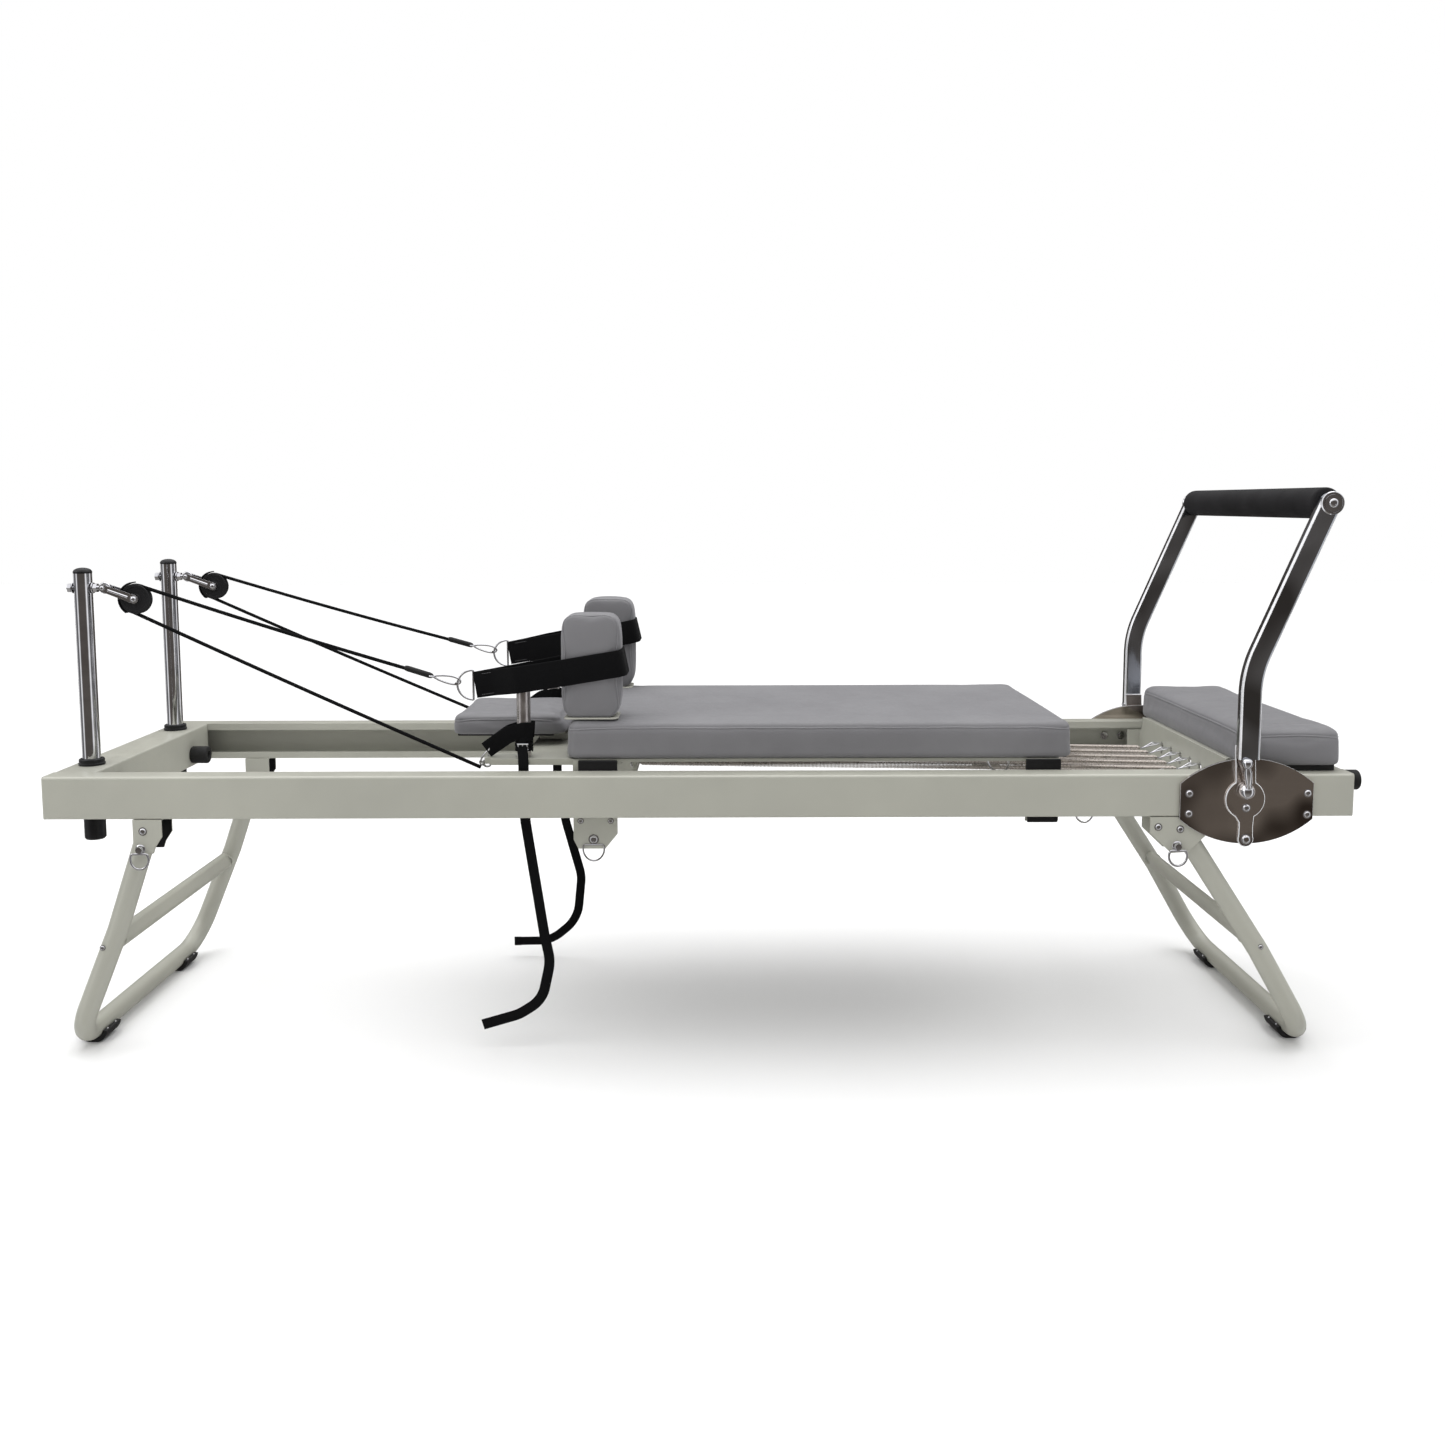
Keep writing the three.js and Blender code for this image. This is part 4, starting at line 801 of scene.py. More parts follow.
def strap_tail(name, side, points):
    """Adjuster webbing from the snap hook up round the strap post, its buckle and its hanging tail."""
    y = side * 222
    start = at(-386, y, 548)
    for label, offset in (("front", -1), ("back", 1)):
        sag = [start + shift(y=offset * 3), at(-366, y + offset * 7, 562), at(-345, y + offset * 14.2, 577),
               at(STRAP_POST_X, y + offset * 15.4, 585), at(-300, y + offset * 9, 584)]
        ribbon(f"adjuster_{label}_{name}", fillet(sag, 20 * MM, 5), 30 * MM, 2.4 * MM, (-0.55, 0, 0.83))
    wrap = []
    for turn in (0, 1, 2):
        ring = [at(STRAP_POST_X + WRAP_REACH * math.cos(t), y + WRAP_REACH * math.sin(t),
                   549 + 9 * turn + 3.5 * t / 6.28)
                for t in np.linspace(0, 2 * math.pi, 33)[:-1]]
        wrap.append(sweep("turn", ring, rounded_rectangle(2.6 * MM, 9.4 * MM, 1.2 * MM, 3), closed=True))
    settle(joined(f"post_wrap_{name}", wrap), "carriage", WEBBING)

    # ladder buckle low on the post, towards the camera side of its strap
    slots, front = [], y + side * 17.6
    for x in (STRAP_POST_X - 8, STRAP_POST_X, STRAP_POST_X + 8):
        slots.append(tube("rung", [at(x, front, 541), at(x, front, 561)], 1.3 * MM, 8, up=(0, 1, 0)))
    for z in (541, 551, 561):
        stile = [at(STRAP_POST_X - 10, front, z), at(STRAP_POST_X + 10, front, z)]
        slots.append(tube("stile", stile, 1.5 * MM, 8))
    settle(joined(f"ladder_buckle_{name}", slots), "carriage", CHROME)

    neck = [at(-324, side * 238.5, 566), at(-319, side * 240, 553), at(-316, side * 250, 538),
            at(-315, side * 256.6, 520)]
    hanging = [at(x, side * 257 + (1.2 if i % 2 else -1.2), z) for i, (x, z) in enumerate(points)]
    tail = fillet(neck + hanging, 80 * MM, 10)
    ribbon(f"strap_tail_{name}", tail, 19 * MM, 2.2 * MM, (1, 0, 0.05))
    end = tail[-1]
    along = (end - tail[-2]).normalized()
    tip = [end - along * 14 * MM, end + along * 0.6 * MM]
    ribbon(f"strap_tail_hem_{name}", tip, 19.6 * MM, 3.6 * MM, Vector((0, 1, 0)).cross(along))

    # small snap hook that ties the adjuster to the end of the carriage arm
    snap_hook(f"arm_hook_{name}", at(-383, side * 221, 546), at(-397, side * 219, 520), 6 * MM, 1.8 * MM)
    lug = hoop(at(-386, side * 221, 524), 7 * MM, 20)
    settle(tube(f"arm_ring_{name}", lug, 2.2 * MM, 10, closed=True, up=(0, 1, 0)), "carriage", CHROME)


# ------------------------------------------------------------------ springs

def spring_set(index):
    """Close-wound extension spring with its hooks. The coil runs between the frame and the carriage."""
    node = f"spring_{index + 1}"
    y = mid(node).y
    head = Vector((x_at(-117), y, z_at(503)))
    foot = Vector((x_at(905), y, z_at(487.2)))
    wire, coil, turn_pitch, sides, around = 0.95 * MM, 5.5 * MM, 2.6 * MM, 10, 5
    axis = (foot - head).normalized()
    u = Vector((0, 1, 0))
    v = axis.cross(u)
    length = (foot - head).length
    turns = int(length / turn_pitch)
    t = np.linspace(0, turns * 2 * math.pi, turns * sides + 1)
    far = np.abs(t / t[-1] - 0.5) * 2
    radius = coil * np.where(far > 0.985, np.sqrt(np.clip((1 - far) / 0.015, 0.03, 1)), 1.0)
    out = np.outer(np.cos(t), u) + np.outer(np.sin(t), v)
    centre = np.array(head) + np.outer(t / t[-1] * length, axis) + out * radius[:, None]
    rings = []
    for k in range(around):
        a = 2 * math.pi * k / around
        rings.append(centre + wire * (math.cos(a) * out + math.sin(a) * np.array(axis)))
    verts = np.stack(rings, 1).reshape(-1, 3)
    i = np.arange(len(t) - 1)[:, None] * around
    k = np.arange(around)[None]
    q = (k + 1) % around
    faces = np.stack([i + k, i + q, i + around + q, i + around + k], -1).reshape(-1, 4)[:, ::-1]
    coil_piece = mesh_object(f"spring_coil_{index + 1}", verts, faces.tolist())
    settle(coil_piece, None, WIRE)
    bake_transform(coil_piece)
    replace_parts(coil_piece, node)

    def beside(centre, *offsets):
        return [centre + shift(*offset) for offset in offsets]

    hole = Vector((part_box("spring_bar")[0].x + 28 * MM, y, z_at(492)))
    hook = [foot - axis * 6 * MM, foot + axis * 6 * MM,
            *beside(hole, (-22, 0, 6), (-3, 0, 4.5), (9, 0, -1), (7, 0, -13), (-4, 0, -14))]
    keeper = [foot + axis * 4 * MM,
              *beside(hole, (-26, 5, 1), (-12, 5.5, 3), (-7, 0, 6), (-12, -5.5, 3), (-26, -5, 1)),
              foot + axis * 3 * MM]
    anchor = [head + axis * 8 * MM, head - axis * 2 * MM,
              *beside(head, (-12, 0, 4), (-16, 0, -6), (-8, 0, -9))]
    wires = (("hook", hook, 6, 6, 1.7, 12, "frame"), ("keeper", keeper, 5, 4, 1.2, 10, "frame"),
             ("anchor", anchor, 5, 5, 1.7, 12, "carriage"))
    for part, path, bend, steps, thick, facets, body in wires:
        piece = tube(f"spring_{part}_{index + 1}", fillet(path, bend * MM, steps), thick * MM, facets)
        settle(piece, body, CHROME)


# ------------------------------------------------------------------ cushions

def padded(name, low, high, corner, roll):
    """A pad with its outline rounded in plan, its top edge rolled over and its bottom edge just eased."""
    size, centre = high - low, (low + high) / 2
    ease = 5 * MM
    turns = [math.radians(t) for t in (0, 22, 45, 68, 90)]
    levels = [(low.z + ease * (1 - math.cos(t)), ease * (1 - math.sin(t))) for t in turns]
    levels += [(high.z - roll * (1 - math.sin(t)), roll * (1 - math.cos(t))) for t in turns]
    verts, count = [], 0
    for height, inset in levels:
        outline = rounded_rectangle(size.x - 2 * inset, size.y - 2 * inset, max(corner - inset, 2 * MM), 6)
        verts += [Vector((centre.x + x, centre.y + y, height)) for x, y in outline]
        count = len(outline)
    faces = []
    for k, i in itertools.product(range(len(levels) - 1), range(count)):
        here, above, after = k * count, (k + 1) * count, (i + 1) % count
        faces.append((here + i, here + after, above + after, above + i))
    faces += [tuple(reversed(range(count))), tuple(range(len(verts) - count, len(verts)))]
    return mesh_object(name, verts, faces)


def slab(name, low, high, corner):
    """An upright box whose outline is rounded in X and Z."""
    size, centre = high - low, (low + high) / 2
    outline = rounded_rectangle(size.x, size.z, corner, 6)
    return plate(name, outline, Vector((centre.x, high.y, centre.z)), (1, 0, 0), (0, 0, 1), size.y)


def baked(obj):
    """Apply the modifiers of obj to its mesh."""
    old = obj.data
    depsgraph = bpy.context.evaluated_depsgraph_get()
    obj.data = bpy.data.meshes.new_from_object(obj.evaluated_get(depsgraph))
    obj.modifiers.clear()
    bpy.data.meshes.remove(old)
    return obj


def remeshed(obj, voxel):
    remesh = obj.modifiers.new("remesh", "REMESH")
    remesh.mode = "VOXEL"
    remesh.voxel_size = voxel
    return baked(obj)


CLOTH_FRAMES = 20


def inflated(obj, pressure, pinned):
    """The points of obj after a short cloth run under inner pressure; pinned tells which points stay."""
    group = obj.vertex_groups.new(name="pinned")
    group.add([v.index for v in obj.data.vertices if pinned(v.co)], 1.0, "REPLACE")
    cloth = obj.modifiers.new("cloth", "CLOTH")
    for key, value in dict(quality=4, mass=0.3, use_pressure=True, uniform_pressure_force=pressure,
                           tension_stiffness=25, compression_stiffness=25, shear_stiffness=12,
                           bending_stiffness=2, vertex_group_mass="pinned").items():
        setattr(cloth.settings, key, value)
    cloth.settings.effector_weights.gravity = 0
    cloth.collision_settings.use_collision = False
    cloth.point_cache.frame_start = 1
    cloth.point_cache.frame_end = CLOTH_FRAMES
    scene = bpy.context.scene
    for step in range(1, CLOTH_FRAMES + 1):
        scene.frame_set(step)
    depsgraph = bpy.context.evaluated_depsgraph_get()
    evaluated = obj.evaluated_get(depsgraph)
    moved = np.zeros(len(obj.data.vertices) * 3)
    evaluated.data.vertices.foreach_get("co", moved)
    obj.modifiers.clear()
    obj.vertex_groups.clear()
    scene.frame_set(1)
    return moved.reshape(-1, 3)


def points_of(obj):
    co = np.zeros(len(obj.data.vertices) * 3)
    obj.data.vertices.foreach_get("co", co)
    return co.reshape(-1, 3)


def set_points(obj, co):
    obj.data.vertices.foreach_set("co", co.ravel())
    obj.data.update()


def relaxed(obj, rounds, share=0.5):
    """Smooth the mesh of obj a few times."""
    bm = bmesh.new()
    bm.from_mesh(obj.data)
    for _ in range(rounds):
        bmesh.ops.smooth_vert(bm, verts=bm.verts, factor=share,
                              use_axis_x=True, use_axis_y=True, use_axis_z=True)
    bm.to_mesh(obj.data)
    bm.free()


PRESSURE = 4.0
PROUD = 2 * MM                     # how far the cloth may leave its CAD space


def cushion(name, low, high, corner, body, cad_node, voxel, cap, swell=4 * MM,
            axis="z", rest=None, edge_rounds=1, roll=14 * MM, crown=0.0):
    """Upholstered pad: a slightly small rounded box, inflated as cloth, held to its CAD space.
    rest(point) is true where it lies on its board and stays flat; cap limits how far a point swells;
    crown is how far the top stands above the CAD space."""
    if axis == "z":
        margin = shift(1.5, 1.5)
        start = padded(name, low + margin, high - margin - shift(z=2), corner, roll)
    else:
        margin = Vector((swell, swell, swell))
        start = slab(name, low + margin, high - margin, corner)
    obj = remeshed(start, voxel)
    relaxed(obj, edge_rounds)
    before = points_of(obj)
    moved = inflated(obj, PRESSURE, rest or (lambda p: False))
    push = moved - before
    size = np.linalg.norm(push, axis=1, keepdims=True)
    held = cap * np.tanh(size / cap)
    push = np.where(size > 1e-9, push / np.maximum(size, 1e-9) * held, 0)
    after = before + push
    after = np.clip(after, np.array(low) - PROUD, np.array(high) + PROUD)
    if axis == "z":
        after[:, 2] = np.maximum(after[:, 2], low.z)
    set_points(obj, after)
    relaxed(obj, 2, 0.4)
    subdivision = obj.modifiers.new("subdivision", "SUBSURF")
    subdivision.levels = subdivision.render_levels = 1
    baked(obj)
    obj.data.shade_smooth()

    # the cover is drawn tight on its board, so the pad keeps its outer size
    co = points_of(obj)
    least, most = co.min(0), co.max(0)
    size = np.array(high - low + Vector((0, 0, crown)))
    set_points(obj, np.array(low) + (co - least) / (most - least) * size)
    settle(obj, body, LEATHER)
    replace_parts(obj, cad_node)
    return obj


def seam(name, piece, loop, inward, body, groove=1.3 * MM, reach=5.5 * MM, cord=1.3 * MM):
    """A piped seam: the skin is drawn in along a loop around the pad, and the piping lies in the groove.
    loop holds points outside the pad; inward(point) gives the direction towards its middle."""
    mesh = piece.data
    tree = BVHTree.FromPolygons([v.co for v in mesh.vertices], [p.vertices for p in mesh.polygons])
    line = [hit for hit in (tree.ray_cast(p, inward(p))[0] for p in loop) if hit]
    finder = KDTree(len(line))
    for i, p in enumerate(line):
        finder.insert(p, i)
    finder.balance()
    co = points_of(piece)
    normals = np.zeros(len(co) * 3)
    mesh.vertices.foreach_get("normal", normals)
    normals = normals.reshape(-1, 3)
    for i, p in enumerate(co):
        distance = finder.find(p)[2]
        if distance < reach:
            co[i] = p - normals[i] * groove * (math.cos(math.pi * distance / reach) + 1) / 2
    set_points(piece, co)
    sunk = [p + inward(p) * groove * 0.5 for p in line]
    for _ in range(4):
        sunk = [(sunk[i - 1] + 2 * sunk[i] + sunk[(i + 1) % len(sunk)]) / 4 for i in range(len(sunk))]
    up = tuple(inward(line[0]) * 0.9 + Vector((0.01, 0.02, 0.03)))
    # the piping cord takes the lighter leatherette: painted highlight along the seam
    settle(tube(name, sunk, cord, 8, closed=True, up=up), body, PIPING_PAINTED_HIGHLIGHT)


def flat_loop(low, high, corner, height):
    """Points around a pad, outside its sides; the line sags a little towards the corners."""
    grow, step = 25 * MM, 5 * MM
    sag_reach, corner_sag, wander = 110 * MM, 3.5 * MM, 0.5 * MM
    size, centre = high - low, (low + high) / 2
    outline = rounded_rectangle(size.x + 2 * grow, size.y + 2 * grow, corner + grow, 24)
    points = spaced([Vector((centre.x + a, centre.y + b, height)) for a, b in outline], step)
    for p in points:
        from_corner = max(size.x / 2 - abs(p.x - centre.x), 0) + max(size.y / 2 - abs(p.y - centre.y), 0)
        sag = corner_sag * max(1 - from_corner / sag_reach, 0) ** 2
        p.z += wander * math.sin(p.x * 61) * math.sin(p.x * 23 + p.y * 31) - sag
    return points


def spaced(points, step):
    """A closed polyline with its points an even step apart."""
    ring = [*points, points[0]]
    steps = np.array([0] + [(b - a).length for a, b in zip(ring, ring[1:])]).cumsum()
    count = int(steps[-1] / step)
    wanted = np.linspace(0, steps[-1], count, endpoint=False)
    co = np.array([tuple(p) for p in ring])
    return [Vector(p) for p in np.stack([np.interp(wanted, steps, co[:, i]) for i in range(3)], -1)]


def flat_inward(low, high, corner):
    """Directions towards the pad's middle that meet its sides squarely."""
    inner_low = Vector((low.x + corner * 1.6, low.y + corner * 1.6, 0))
    inner_high = Vector((high.x - corner * 1.6, high.y - corner * 1.6, 0))

    def direction(p):
        x, y = (min(max(p[k], inner_low[k]), inner_high[k]) for k in (0, 1))
        return (Vector((x, y, p.z)) - p).normalized()
    return direction


def flat_cushion(name, low, high, corner, body, cad_node, seam_z, voxel, cap, **options):
    """A pad that lies flat, with one piped seam around its sides."""
    piece = cushion(name, low, high, corner, body, cad_node, voxel, cap,
                    rest=lambda p: p.z < low.z + 1.2 * voxel, **options)
    seam(f"{name}_seam", piece, flat_loop(low, high, corner, seam_z), flat_inward(low, high, corner), body)
    return piece


def carriage_cushion():
    low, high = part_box("carriage_pad")
    flat_cushion("carriage_cushion", low, high, 24 * MM, "carriage", "carriage_pad", high.z - 5 * MM,
                 voxel=7 * MM, cap=3.5 * MM, roll=7 * MM, crown=9.5 * MM)
    base = block("carriage_board", low + shift(9, 9, 0.2),
                 Vector((high.x - 9 * MM, high.y - 9 * MM, low.z + 8 * MM)))
    settle(soften(base, 3 * MM), "carriage", BOARD)


def foot_cushion():
    low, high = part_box("foot_pad")
    seat = Vector((low.x, low.y, z_at(527)))
    flat_cushion("foot_cushion", seat, high, 17 * MM, "frame", "foot_pad", high.z - 15 * MM,
                 voxel=6 * MM, cap=3 * MM)
    board = block("foot_board", Vector((x_at(988), low.y + 12 * MM, low.z)),
                  Vector((high.x - 12 * MM, high.y - 12 * MM, seat.z + 6 * MM)))
    settle(soften(board, 1.5 * MM), "frame", BOARD)


def headrest_cushion():
    low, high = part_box("headrest_pad")
    seat = Vector((x_at(-470), low.y, z_at(556)))
    right = Vector((x_at(-268), high.y, high.z))
    piece = flat_cushion("headrest_cushion", seat, right, 15 * MM, "headrest", "headrest_pad",
                         high.z - 12 * MM, voxel=5 * MM, cap=3 * MM, roll=10 * MM)
    # the hinge end leans out below, so the two pads meet without a gap and still clear when it tilts
    lean_reach, lean_above, lean_below = 40 * MM, 4 * MM, 19 * MM
    co = points_of(piece)
    for p in co:
        toward = max(1 - (right.x - p[0]) / lean_reach, 0) ** 2
        down = (right.z - p[2]) / (right.z - seat.z)
        p[0] += toward * (lean_above + (lean_below - lean_above) * down)
    set_points(piece, co)
    hinge = pivot("headrest_tilt")
    board = block("headrest_board", seat + shift(10, 10, -2.5),
                  Vector((right.x - 10 * MM, right.y - 10 * MM, seat.z + 5 * MM)))
    settle(soften(board, 1.5 * MM), "headrest", BOARD)
    for side in (-1, 1):
        y = side * 62 * MM
        leaf = block("leaf", Vector((seat.x + 160 * MM, y - 3 * MM, hinge.z - 5 * MM)),
                     Vector((hinge.x, y + 3 * MM, seat.z - 1 * MM)))
        roll = in_mm([(0, -3.2), (5.4, -3.2), (5.4, 3.2), (0, 3.2)])
        knuckle = lathe("knuckle", roll, Vector((hinge.x, y, hinge.z)), (0, 1, 0), 28)
        strap = joined(f"headrest_leaf_{'near' if side < 0 else 'far'}", [leaf, knuckle])
        settle(soften(strap, 0.6 * MM), "headrest", PAINT)
    # prop rod that reaches down from the headrest onto the carriage arm
    rod = fillet([at(-396, -88, 550), at(-398, -104, 549), at(-404, -118, 541), at(-392, -118, 538.5),
                  at(-372, -118, 549), at(-366, -104, 551), at(-364, -88, 551)], 6 * MM, 5)
    settle(tube("headrest_prop", rod, 2 * MM, 10), "headrest", CHROME)


def shoulder_cushion(name, side):
    low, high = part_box(f"shoulder_pad_{name}")
    corner, grow = 21 * MM, 20 * MM
    piece = cushion(f"shoulder_rest_{name}", low, high, corner, "carriage", f"shoulder_pad_{name}",
                    voxel=4.5 * MM, cap=4 * MM, swell=3 * MM, axis="y", edge_rounds=2)
    size, centre = high - low, (low + high) / 2
    for label, face in (("outer", side), ("inner", -side)):
        y = centre.y + face * (size.y / 2 - 8 * MM)
        outline = rounded_rectangle(size.x + 2 * grow, size.z + 2 * grow, corner + grow, 24)
        loop = spaced([Vector((centre.x + a, y, centre.z + b)) for a, b in outline], 4 * MM)

        def direction(p, y=y):
            x = min(max(p.x, low.x + 1.5 * corner), high.x - 1.5 * corner)
            z = min(max(p.z, low.z + 1.5 * corner), high.z - 1.5 * corner)
            return (Vector((x, y, z)) - p).normalized()
        seam(f"shoulder_seam_{label}_{name}", piece, loop, direction, "carriage",
             reach=4.5 * MM, cord=1.1 * MM)
    # painted steel shoe that the rest stands on
    shoe = plate(f"shoulder_shoe_{name}", rounded_rectangle(size.x - 12 * MM, size.y - 2 * MM, 12 * MM, 6),
                 Vector((centre.x, centre.y, low.z - 1.4 * MM)), (1, 0, 0), (0, 1, 0), 3.2 * MM)
    settle(soften(shoe, 1.2 * MM, 3), "carriage", PAINT)


# ------------------------------------------------------------------ wheels, rubber, legs

def track_wheel(end, name, side):
    node = f"wheel_{end}_{name}"
    hub = pivot(f"{node}_spin")
    r, half, rim = 26, 12.4, 3
    profile = [(5.3, -half), (11, -half), (11.6, -9), (19, -8), (20, -12), (23.4, -12.2)]
    profile += [(r - rim + rim * math.sin(t), -half + rim - rim * math.cos(t))
                for t in np.linspace(0.2, math.pi / 2, 5)]
    wheel = ringed(f"track_wheel_{end}_{name}", in_mm(mirrored(profile)), hub, (0, 1, 0), 56)
    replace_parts(settle(wheel, node, PLASTIC), node)
    hex_nut(f"axle_nut_{end}_{name}", hub + shift(y=side * (half + 1.2)), (0, side, 0), 7, 4, "carriage")


def stub_rubber(node, shown):
    """Short round buffer that stands towards +X, with a rounded rim and a dished face."""
    low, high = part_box(node)
    middle = mid(node)
    r, length = (high.z - low.z) / 2, high.x - low.x
    rim = 4 * MM
    profile = [(0, 0), (r * 0.93, 0), (r, 2 * MM), (r, length - rim)]
    profile += [(r - rim + rim * math.cos(t), length - rim + rim * math.sin(t))
                for t in np.linspace(0.2, math.pi / 2, 6)]
    profile += [(r * 0.45, length - 0.2 * MM), (r * 0.36, length - 5 * MM), (0, length - 5 * MM)]
    piece = lathe(shown, profile, Vector((low.x, middle.y, middle.z)), (1, 0, 0), 48)
    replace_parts(settle(piece, "frame", RUBBER), node)


LEGS = {
    "head": dict(kink=(-1038, 238), base=-1125, bar=(-1050, 212), joint="leg_head_fold", rivet=(-1060, 208)),
    "foot": dict(kink=(1001, 193), base=1096, bar=(990, 210), joint="leg_foot_fold", rivet=(999, 203)),
}
LEG_TUBE = 18 * MM
LEG_Y = 287


def leg(end):
    spec = LEGS[end]
    body = f"{end}_leg"
    turn = pivot(spec["joint"])
    kink = at(spec["kink"][0], 0, spec["kink"][1])
    upward = (turn - kink).normalized() * 9 * MM
    y = Vector((0, LEG_Y * MM, 0))
    base = at(spec["base"], 0, 25.5)
    corners = [turn + upward - y, kink - y, base - y, base + y, kink + y, turn + upward + y]
    path = fillet(corners, 74 * MM, 14)
    frame_tube = tube("tube", path, LEG_TUBE, 32, up=(0, 1, 0))
    level = at(spec["bar"][0], 0, spec["bar"][1])
    reach = y * (1 - 15 / LEG_Y)
    section = rounded_rectangle(34 * MM, 22 * MM, 10 * MM, 5)
    cross = sweep("bar", [level - reach, level + reach], section, up=(1, 0, 0.4))
    welds = []
    for side in (-1, 1):
        bead = hoop(level + y * side * (1 - 18.5 / LEG_Y), 17 * MM, 24, 11.5 * MM)
        welds.append(tube("weld", bead, 2.2 * MM, 8, closed=True, up=(0, 1, 0)))
    whole = joined(f"leg_tube_{end}", [frame_tube, cross, *welds])
    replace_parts(settle(whole, body, PAINT), f"leg_{end}")

    for name, side in SIDES:
        out = Vector((0, side, 0))
        head = at(spec["rivet"][0], side * (LEG_Y + 17.6), spec["rivet"][1])
        bolt(f"leg_rivet_{end}_{name}", head, out, 4.2, 2.6, body)
        node = f"leg_{end}_foot_{name}"
        low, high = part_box(node)
        centre = Vector((base.x, mid(node).y, base.z))
        left, right = math.radians(188), math.radians(352)
        outer, bore, half = 27 * MM, 18.3 * MM, (high.y - low.y) / 2
        outline = [(outer * math.cos(t), max(outer * math.sin(t), -base.z))
                   for t in np.linspace(left, right, 21)]
        outline += [(bore * math.cos(t), bore * math.sin(t)) for t in np.linspace(right, left, 17)]
        start = centre + Vector((0, half, 0))
        shoe = plate(f"floor_sleeve_{end}_{name}", outline, start, (1, 0, 0), (0, 0, 1), 2 * half)
        settle(soften(shoe, 1.6 * MM, 3), body, RUBBER)
        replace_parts(shoe, node)
        for offset in (-0.55, 0.55):
            spot = centre + Vector((0, offset * half, 0)) + shift(math.copysign(22, -base.x), 0, -4)
            screw = f"sleeve_screw_{end}_{name}_{'a' if offset < 0 else 'b'}"
            bolt(screw, spot, (math.copysign(1, -base.x), 0, 0.1), 2.6, 1.6, body)


def pull_pin(end, name, side):
    """Spring plunger with a turned knob, and the ring that pulls it."""
    node = f"pull_pin_{end}_{name}"
    spot = Vector((mid(node).x, side * RAIL_FACE, z_at(388 if end == "head" else 389)))
    out = Vector((0, side, 0))
    profile = [(0, -4), (3.4, -4), (4, -3.2), (4, 0.3), (8.6, 0.4), (8.8, 1.4), (7.4, 2.6), (5.4, 3),
               (5.2, 5.4), (6.4, 6), (6.6, 8), (5.6, 9.6), (0, 10)]
    knob = lathe("knob", in_mm(profile), spot, out, 28)
    r, wire = 16 * MM, 2.1 * MM
    centre = spot + out * 7 * MM - shift(z=17)
    loop = hoop(centre, r, 32, 1.08 * r)
    for p in loop:
        p.z = min(p.z, centre.z + 0.62 * r)
    ring = tube("ring", loop, wire, 10, closed=True, up=(0, 1, 0))
    piece = joined(f"lock_pin_{end}_{name}", [knob, ring])
    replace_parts(settle(piece, node, CHROME), node)


# ------------------------------------------------------------------ footbar

def footbar():
    """The two arms with their rounded heads, the keyhole plates with their bolts, and the foam sleeve."""
    low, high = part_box("footbar_grip")
    grip = mid("footbar_grip")
    turn = pivot("footbar_tilt")
    inner = 319.5                  # from the centre plane to where the keyhole plates lie, in mm
    for name, side in SIDES:
        y = side * (inner + 11)
        corners = [at(953, y, 548), at(953, y, 700), Vector((grip.x, y * MM, grip.z))]
        path = fillet(corners, 190 * MM, 18)
        arm = sweep("arm", path, rounded_rectangle(22 * MM, 37 * MM, 6.5 * MM, 6), up=(1, 0, 0))
        lean = (path[-1] - path[-2]).normalized()
        across = Vector((lean.z, 0, -lean.x))
        crown = in_mm([(18.5, -1), *((18.5 * math.cos(t), 18.5 * math.sin(t))
                                     for t in np.linspace(0, math.pi, 25)[1:-1]), (-18.5, -1)])
        end_cap = plate("crown", crown, path[-1] + shift(y=11), across, lean, 22 * MM)
        stem = joined(f"footbar_arm_{name}", [arm, baked(soften(end_cap, 5.5 * MM, 4, 50))])
        settle(stem, "footbar", MIRROR_STEEL_PAINTED_DARK)
        # the arms' rounded corners take the lighter edge strip: painted highlight
        stem.data.materials.append(EDGE)
        for face in stem.data.polygons:
            face.material_index = 1 if 0.3 < abs(face.normal.y) < 0.85 else 0
        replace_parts(stem, "footbar_frame")

        disc = at(956, 0, 474)
        face = plate(f"footbar_keyhole_{name}", keyhole(turn, disc), shift(y=side * inner),
                     (1, 0, 0), (0, 0, 1), side * 3.4 * MM)
        # the plate's rounded rim takes the lighter edge strip: painted highlight
        soften(settle(face, "footbar", PLATE), 2.8 * MM, 3, 40, EDGE)

        out = Vector((0, side, 0))
        bolt(f"footbar_pivot_bolt_{name}", Vector((turn.x, side * inner * MM, turn.z)), out, 8, 6, "footbar")
        bolt(f"footbar_lock_bolt_{name}", at(958, side * inner, 459), out, 6.6, 4.5, "footbar")
        boss = [(0, -2), (19, -2), (20, -1), (20, 1.2), (18.5, 2.6), (16.2, 2.8), (15.6, 1.6), (14.8, 1.6),
                (14.2, 3.4), (9, 4), (0, 4)]
        cup = lathe(f"grip_boss_{name}", in_mm(boss),
                    Vector((grip.x, side * (inner + 22) * MM, grip.z)), out, 48)
        settle(cup, "footbar", CHROME)
        bolt(f"grip_bolt_{name}", Vector((grip.x, side * (inner + 26) * MM, grip.z)), out, 8, 4, "footbar")

    r, reach, rim = (high.z - low.z) / 2, (high.y - low.y) / 2, 5 * MM
    profile = [(0, -reach), (r * 0.8, -reach)]
    profile += [(r - rim + rim * math.sin(t), -reach + rim - rim * math.cos(t))
                for t in np.linspace(0.1, math.pi / 2, 7)]
    profile += [(r * 0.995, 0)]
    profile += [(a, -b) for a, b in reversed(profile[:-1])]
    sleeve = lathe("footbar_sleeve", profile, grip, (0, 1, 0), 72)
    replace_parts(settle(sleeve, "footbar", FOAM), "footbar_grip")


